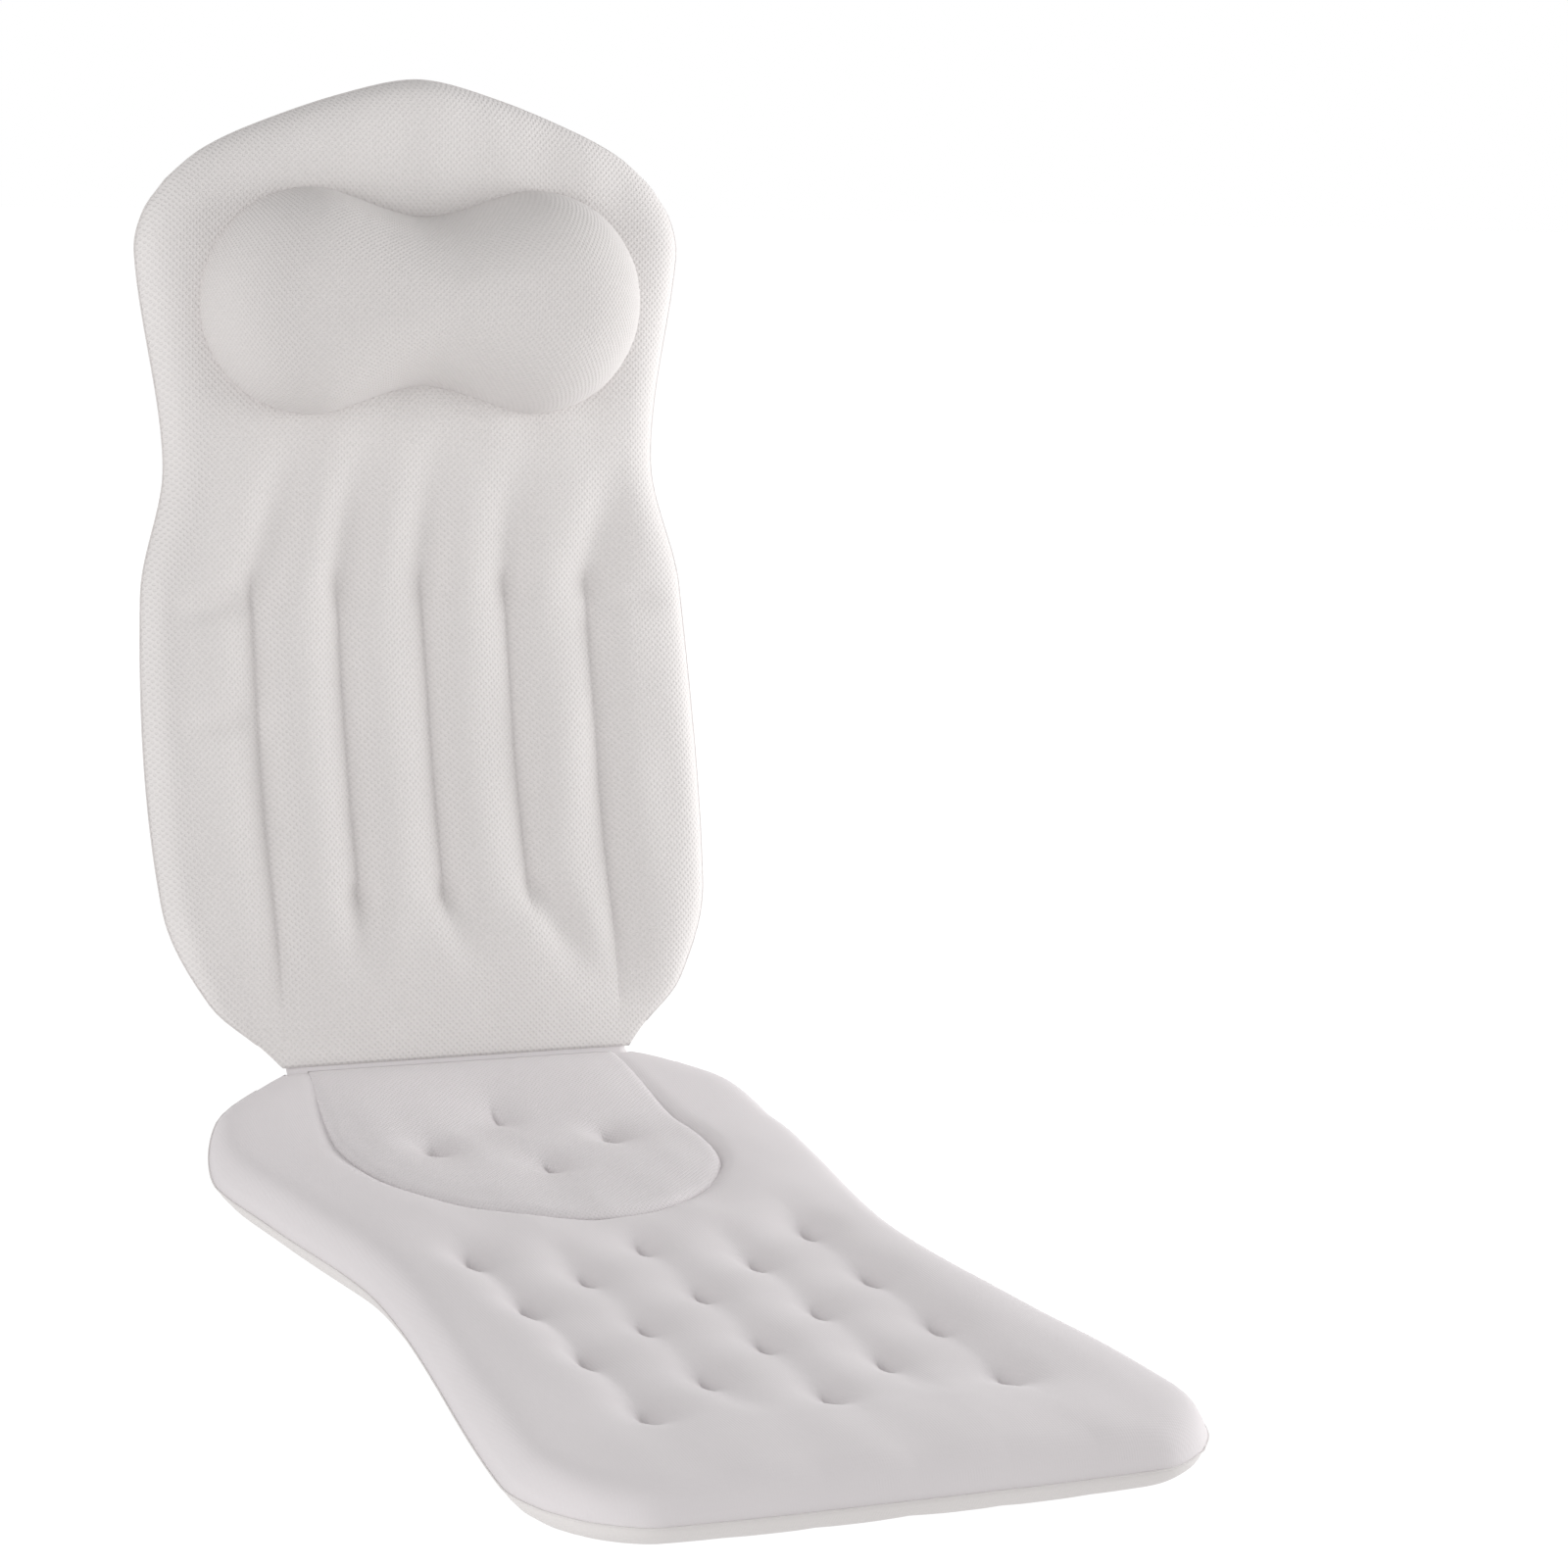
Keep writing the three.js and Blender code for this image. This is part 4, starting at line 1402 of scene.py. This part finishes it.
@dataclass
class HeadPillow:
    """Bone-shaped pillow sewn to the upper back."""

    back: BackPanel
    name: str = "head_pillow"
    replaced: tuple[str, ...] = ("head_pillow_cover", "head_pillow_fill")
    fill: float = 0.85
    rise: float = 0.056
    edge_radius: float = 0.052
    droop: float = 0.10
    sink: float = 0.004
    first_turn: float = 0.119
    rim_share: float = 0.999
    held_share: float = 0.985
    filling: Filling = Filling(cap=0.005, slack=0.003)

    @staticmethod
    def outline(count: int = 120) -> Array:
        """Draws the sewn outline through two round lobes and a waist.

        Args:
            count: Number of points.

        Returns:
            Evenly spaced places across and along from the pillow's middle.
        """
        half_length, radius, waist, steps = 0.150, 0.072, 0.054, 24
        angles = np.radians([-90.0, -54.0, -18.0, 18.0, 54.0, 90.0])
        lobe = np.column_stack([np.cos(angles), np.sin(angles)]) * radius
        lobe[:, 0] += half_length - radius
        knots = np.vstack([lobe, [[0.0, waist]], -lobe, [[0.0, -waist]]])
        ring = np.vstack([knots[-2:], knots, knots[:2]])
        t = np.linspace(0.0, 1.0, steps, endpoint=False)[:, None]
        dense = []
        # Centripetal spline, which doesn't overshoot between uneven knots.
        for i in range(1, len(knots) + 1):
            a, b, c, d = ring[i : i + 4]
            ab, bc, cd = (math.sqrt(math.dist(p, q)) for p, q in ((a, b), (b, c), (c, d)))
            first = ((b - a) / ab - (c - a) / (ab + bc) + (c - b) / bc) * bc
            last = ((c - b) / bc - (d - b) / (bc + cd) + (d - c) / cd) * bc
            bend = first * t * (1.0 - t) ** 2 - last * t * t * (1.0 - t)
            dense.append(b + (c - b) * smoothstep(t, 0.0, 1.0) + bend)
        line = np.vstack([*dense, dense[0][:1]])
        run = run_along(line)
        places = np.linspace(0.0, run[-1], count, endpoint=False)
        return np.column_stack([np.interp(places, run, line[:, k]) for k in range(2)])

    @staticmethod
    def depth_inside(x: Array, y: Array) -> Array:
        """Measures the depth inside the outline.

        Args:
            x: Places across from the pillow's middle.
            y: Places along from it.

        Returns:
            Distance from the outline, negative outside.
        """
        line = HeadPillow.outline()
        away = distance_to_line(x, y, np.vstack([line, line[:1]]))
        angles, radii = np.arctan2(line[:, 1], line[:, 0]), np.hypot(line[:, 0], line[:, 1])
        reach = np.interp(np.arctan2(y, x), angles, radii, period=2.0 * math.pi)
        return np.where(np.hypot(x, y) <= reach, away, -away)

    def build(self) -> Piece:
        """Builds and fills the pillow from a ball pressed flat below.

        Returns:
            The finished piece.
        """
        shape = bmesh.new()
        uv = shape.loops.layers.uv.new("cloth")
        made = bmesh.ops.create_icosphere(shape, subdivisions=6, radius=1.0)["verts"]
        ball = np.array([v.co for v in made])
        line = self.outline()
        line = np.vstack([line, line[:1]])
        turn = np.arctan2(ball[:, 1], ball[:, 0]) / (2.0 * math.pi) + self.first_turn
        share = np.minimum(np.hypot(ball[:, 0], ball[:, 1]), 1.0)
        places = np.linspace(0.0, 1.0, len(line))
        rim = np.column_stack([np.interp(np.mod(turn, 1.0), places, line[:, k]) for k in range(2)])
        flat = rim * share[:, None]
        x, y = flat.T
        depth = np.where(share > self.rim_share, 0.0, smooth_distance(x, y, line))
        top = ball[:, 2] >= -TINY
        lift = np.where(top, self.rise * round_rise(depth, self.edge_radius), 0.0)
        y = self.back.pillow_station + y
        z = self.back.plain(x, y) + lift - self.sink
        outward = flat / np.maximum(np.linalg.norm(flat, axis=1, keepdims=True), TINY)
        cloth = flat + outward * (self.rise - lift)[:, None]
        for vertex, place, weave in zip(made, np.column_stack([x, y - self.droop * lift, z]), cloth):
            vertex.co = place
            for loop in vertex.link_loops:
                loop[uv].uv = weave
        piece = new_object(self.name, shape)
        self.filling.swell(piece, ~top | (share > self.held_share))
        refine(piece)
        # Greyer pillow cloth with painted shade mixed into its colour.
        piece.data.materials.append(PILLOW_GREY_AND_SHADE_MESH.material())
        piece.data.transform(self.back.to_world())
        hand_over(piece, self.back.body, self.replaced)
        return piece


@dataclass
class FoldTape:
    """Sewn tape in the crease between seat and back, which bends with the fold."""

    leg: LegPanel
    back: BackPanel
    name: str = "fold_tape"
    half_width: float = 0.1165
    reach: float = 0.006
    lift: float = -0.0022
    thickness: float = 0.0010
    columns: int = 48
    rows: int = 12
    nearest: float = 1e-5

    def build(self) -> Piece:
        """Builds the tape.

        Returns:
            The finished piece.
        """
        shape = bmesh.new()
        uv = shape.loops.layers.uv.new("cloth")
        grid = bmesh.ops.create_grid(shape, x_segments=self.columns, y_segments=self.rows, size=1.0)
        flat = np.array([v.co.xy for v in grid["verts"]]) * (self.half_width, self.reach)
        x, station = flat[:, 0], np.maximum(np.abs(flat[:, 1]), self.nearest)
        to_leg, to_back = self.leg.to_world(), self.back.to_world()
        on_leg = np.column_stack([-x, station, self.leg.plain(-x, station) + self.lift])
        on_back = np.column_stack([x, station, self.back.plain(x, station) + self.lift])
        for vertex, weave, low, high in zip(grid["verts"], flat, on_leg, on_back):
            vertex.co = to_back @ Vector(high) if weave[1] >= 0.0 else to_leg @ Vector(low)
            for loop in vertex.link_loops:
                loop[uv].uv = weave
        bmesh.ops.solidify(shape, geom=list(shape.faces), thickness=self.thickness)
        piece = new_object(self.name, shape)
        piece.data.materials.append(LEG_KNIT.material())
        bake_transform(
            piece,
            Body.LEG.value,
            Body.BACK.value,
            start=to_leg @ Vector((0.0, self.reach, 0.0)),
            end=to_back @ Vector((0.0, self.reach, 0.0)),
        )
        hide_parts("fold_seam")
        return piece


@dataclass
class EdgeSeam:
    """Narrow turned edge where the front and rear cloth of a pad are sewn together."""

    pad: SewnPad
    name: str
    radius: float = 0.0006
    clear: float = 0.014

    def build(self) -> Piece:
        """Builds the seam round the pad.

        Returns:
            The finished piece.
        """
        line = self.pad.edge[self.pad.edge[:, 1] > self.clear]
        rim = np.column_stack([line, self.pad.rim(line[:, 0], line[:, 1])])
        curve = bpy.data.curves.new(self.name, "CURVE")
        curve.dimensions = "3D"
        curve.bevel_depth = self.radius
        curve.bevel_resolution = 2
        curve.use_fill_caps = True
        spline = curve.splines.new("POLY")
        spline.points.add(len(line) - 1)
        for point, place in zip(spline.points, rim):
            point.co = (*self.pad.surface.find_nearest(Vector(place))[0], 1.0)
        drawn = bpy.data.objects.new(f"{self.name}_line", curve)
        mesh = bpy.data.meshes.new_from_object(drawn)
        bpy.data.objects.remove(drawn)
        mesh.name = self.name
        mesh.transform(self.pad.to_world())
        mesh.materials.clear()
        mesh.materials.append(THREAD.material())
        piece = link(self.name, mesh)
        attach(piece, self.pad.body.value)
        return piece


@dataclass
class StitchRun:
    """Short stitches along sewn lines, laid on the finished cloth."""

    pad: SewnPad
    name: str
    lines: list[Array]
    length: float = 0.0032
    pitch: float = 0.0048
    width: float = 0.0006

    def build(self) -> Piece:
        """Builds all stitches as one piece.

        Returns:
            The finished piece.
        """
        shape = bmesh.new()
        for line in self.lines:
            run = run_along(line)
            count = max(1, int(run[-1] / self.pitch))
            for middle in (np.arange(count) + 0.5) * run[-1] / count:
                ends = []
                for at in (middle - self.length / 2.0, middle + self.length / 2.0):
                    x, y = (float(np.interp(at, run, line[:, k])) for k in range(2))
                    ends.append(Vector((x, y, self.pad.level(x, y))))
                self._stitch(shape, *ends)
        piece = new_object(self.name, shape)
        piece.data.transform(self.pad.to_world())
        piece.data.materials.append(THREAD.material())
        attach(piece, self.pad.body.value)
        return piece

    def _stitch(self, shape: Shape, start: Vector, end: Vector) -> None:
        """Adds one stitch.

        Args:
            shape: Shape that takes it.
            start: Place on the cloth where it starts.
            end: Place where it ends.
        """
        turn = Vector((1.0, 0.0, 0.0)).rotation_difference(end - start).to_matrix().to_4x4()
        size = Matrix.Diagonal((self.length / 2.0, self.width / 2.0, self.width / 2.0, 1.0))
        place = Matrix.Translation((start + end) / 2.0) @ turn @ size
        bmesh.ops.create_uvsphere(shape, u_segments=6, v_segments=5, radius=1.0, matrix=place)


@dataclass
class SuctionCups:
    """Smooth turned cups behind one panel, where the CAD cups are."""

    pad: SewnPad
    label: str
    first: float
    last: float
    left_side: int
    spread: float = 0.112
    rows: int = 4
    standoff: float = 0.009
    nearby: float = 0.007
    steps: int = 48
    hollow: tuple[Place, ...] = ((0.0, 0.0034), (0.0070, 0.0030), (0.0130, 0.0017), (0.0175, 0.0))
    lip: tuple[Place, ...] = ((0.0190, 0.0), (0.0200, 0.0004), (0.0198, 0.0010), (0.0172, 0.0026))
    bell: tuple[Place, ...] = ((0.0135, 0.0046), (0.0100, 0.0066), (0.0076, 0.0078), (0.0070, 0.0084))
    neck: tuple[Place, ...] = ((0.0052, 0.0086), (0.0040, 0.0090), (0.0040, 0.0118), (0.0, 0.0118))

    def _frame(self, x: float, y: float) -> Matrix:
        """Stands a cup's rim plane off the rear cloth, square to it.

        Args:
            x: Place across.
            y: Place along.

        Returns:
            Matrix from the cup's frame to the pad's.
        """
        near = self.nearby
        steps = np.array([(0.0, 0.0), (near, 0.0), (-near, 0.0), (0.0, near), (0.0, -near)])
        px, py = (steps + (x, y)).T
        places = np.column_stack([px, py, self.pad.plain_rear(px, py)])
        middle, right, left, ahead, back = (Vector(place) for place in places)
        inward = (right - left).cross(ahead - back).normalized()
        turn = Vector((0.0, 0.0, 1.0)).rotation_difference(inward).to_matrix().to_4x4()
        return Matrix.Translation(middle - inward * self.standoff) @ turn

    def build(self) -> list[Piece]:
        """Builds the panel's cups.

        Returns:
            The finished pieces.
        """
        pieces = []
        for row, station in enumerate(np.linspace(self.first, self.last, self.rows), start=1):
            for hand, sign in (("left", self.left_side), ("right", -self.left_side)):
                node = f"{self.label}_cup_{hand}_{row}"
                piece = self._cup(f"{node}_smooth")
                place = self._frame(sign * self.spread, float(station))
                piece.data.transform(self.pad.to_world() @ place)
                hand_over(piece, self.pad.body, (node,))
                pieces.append(piece)
        return pieces

    def _cup(self, name: str) -> Piece:
        """Turns one cup about Z.

        Args:
            name: Piece name.

        Returns:
            The cup in its own frame.
        """
        shape = bmesh.new()
        profile = (*self.hollow, *self.lip, *self.bell, *self.neck)
        line = [shape.verts.new((radius, 0.0, height)) for radius, height in profile]
        edges = [shape.edges.new(pair) for pair in zip(line[:-1], line[1:])]
        bmesh.ops.spin(
            shape,
            geom=line + edges,
            axis=(0.0, 0.0, 1.0),
            cent=(0.0, 0.0, 0.0),
            angle=2.0 * math.pi,
            steps=self.steps,
            use_merge=True,
        )
        bmesh.ops.remove_doubles(shape, verts=shape.verts, dist=TINY)
        piece = new_object(name, shape)
        piece.data.materials.append(VINYL.material())
        return piece


@dataclass(frozen=True)
class Lamp:
    """A square soft lamp."""

    name: str
    place: Point
    aim: Point
    power: float
    size: float = 1.5

    def build(self) -> None:
        """Adds the lamp to the scene."""
        data = bpy.data.lights.new(self.name, "AREA")
        data.size = self.size
        data.energy = self.power
        facing = (Vector(self.aim) - Vector(self.place)).to_track_quat("-Z", "Y").to_matrix().to_4x4()
        link(self.name, data).matrix_world = Matrix.Translation(self.place) @ facing


@dataclass
class Studio:
    """Camera at the photo's place, pale floor and soft light."""

    sensor: float = 36.0
    lens: float = 103.5
    yaw: float = -0.44618385
    pitch: float = 0.21979192
    roll: float = 0.06236670
    eye: Point = (-1.0274998, -2.3561608, 0.8846101)
    ambient: float = 0.55
    white: tuple[float, ...] = (1.0, 1.0, 1.0, 1.0)
    floor_half: float = 6.0
    floor_drop: float = 0.0005
    floor_colour: tuple[float, ...] = (0.8, 0.8, 0.8, 1.0)
    floor_glow: Place = (0.95, 1.13)
    glow_share: Place = (0.7, 0.85)
    lamps: tuple[Lamp, ...] = (
        Lamp("right_lamp", (2.2, 0.0, 0.45), (0.0, 0.2, 0.2), 50.0),
        Lamp("left_lamp", (-2.2, -0.5, 0.6), (0.0, 0.1, 0.25), 17.0),
        Lamp("front_lamp", (-1.5, -2.4, 0.35), (0.0, 0.0, 0.15), 12.0),
        Lamp("rear_lamp", (0.3, 2.9, 0.9), (0.0, 0.3, 0.3), 12.0),
    )

    def _camera(self) -> None:
        """Places the camera by yaw, pitch and roll."""
        data = bpy.data.cameras.new("photo_camera")
        data.sensor_width = self.sensor
        data.lens = self.lens
        level = Matrix.Rotation(self.yaw, 4, "Z")
        tilt = Matrix.Rotation(math.pi / 2.0 - self.pitch, 4, "X")
        turn = level @ tilt @ Matrix.Rotation(self.roll, 4, "Z")
        camera = link("photo_camera", data)
        camera.matrix_world = Matrix.Translation(self.eye) @ turn
        bpy.context.scene.camera = camera

    def _world(self) -> None:
        """White to the camera, dimmer as light."""
        world = bpy.data.worlds.new("studio")
        graph = Graph.on(world)
        strength = graph.between(graph.seen(), self.ambient, 1.0)
        shader = graph.add("ShaderNodeBackground", {"Color": self.white, "Strength": strength})
        graph.add("ShaderNodeOutputWorld", {"Surface": shader[0]})
        bpy.context.scene.world = world

    def _floor(self) -> None:
        """Adds the floor, which shows white with a faint shadow and is clear from below."""
        shape = bmesh.new()
        bmesh.ops.create_grid(shape, x_segments=2, y_segments=2, size=self.floor_half)
        floor = new_object("floor", shape, smooth=False)
        floor.data.transform(Matrix.Translation((0.0, 0.0, -self.floor_drop)))
        material = bpy.data.materials.new("studio_floor")
        graph = Graph.on(material)
        matt = graph.add("ShaderNodeBsdfDiffuse", {"Color": self.floor_colour})
        seen = graph.seen()
        strength = graph.between(seen, *self.floor_glow)
        glow = graph.add("ShaderNodeEmission", {"Color": self.white, "Strength": strength})
        share = graph.between(seen, *self.glow_share)
        lit = graph.add("ShaderNodeMixShader", {0: share, 1: matt[0], 2: glow[0]})
        behind = graph.add("ShaderNodeNewGeometry")["Backfacing"]
        clear = graph.add("ShaderNodeBsdfTransparent")
        graph.surface("ShaderNodeMixShader", {0: behind, 1: lit[0], 2: clear[0]})
        floor.data.materials.append(material)

    def build(self) -> None:
        """Builds the whole studio."""
        self._camera()
        self._world()
        self._floor()
        for lamp in self.lamps:
            lamp.build()
        bpy.context.scene.view_settings.view_transform = "Standard"


def tacks(places: list[Place], reach: float = 0.004) -> list[Array]:
    """Short lines along the panel through the tufts."""
    return [np.array([[x, y - reach], [x, y + reach]]) for x, y in places]


def main() -> None:
    """Builds every piece in order and reports it."""
    logging.basicConfig(level=logging.INFO, format="%(name)s: %(message)s")
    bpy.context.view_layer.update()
    leg = LegPanel()
    back = BackPanel()
    seat = SeatPad(leg=leg)
    channels = [np.array([[x, low], [x, back.channel_top]]) for x, low in back.channels()]
    tack = {"length": 0.0035, "pitch": 0.004}
    sewing = (
        StitchRun(back, "channel_stitches", channels),
        StitchRun(leg, "leg_tuft_tacks", tacks(leg.tufts()), **tack),
        StitchRun(seat, "seat_tuft_tacks", tacks(leg.seat_tufts()), **tack),
        EdgeSeam(leg, "leg_edge_seam"),
        EdgeSeam(back, "back_edge_seam"),
    )
    pads = (leg, seat, back)
    for part in (*pads, *sewing, HeadPillow(back)):
        LOG.info("%s: %d faces", part.name, len(part.build().data.polygons))
    for pad in pads:
        pad.settle()
    LOG.info("%s made", FoldTape(leg, back).build().name)
    for cups in (
        SuctionCups(leg, "leg", first=0.088, last=0.570, left_side=1),
        SuctionCups(back, "back", first=0.080, last=0.500, left_side=-1),
    ):
        LOG.info("%s cups: %d", cups.label, len(cups.build()))
    Studio().build()


if __name__ == "__main__":
    main()
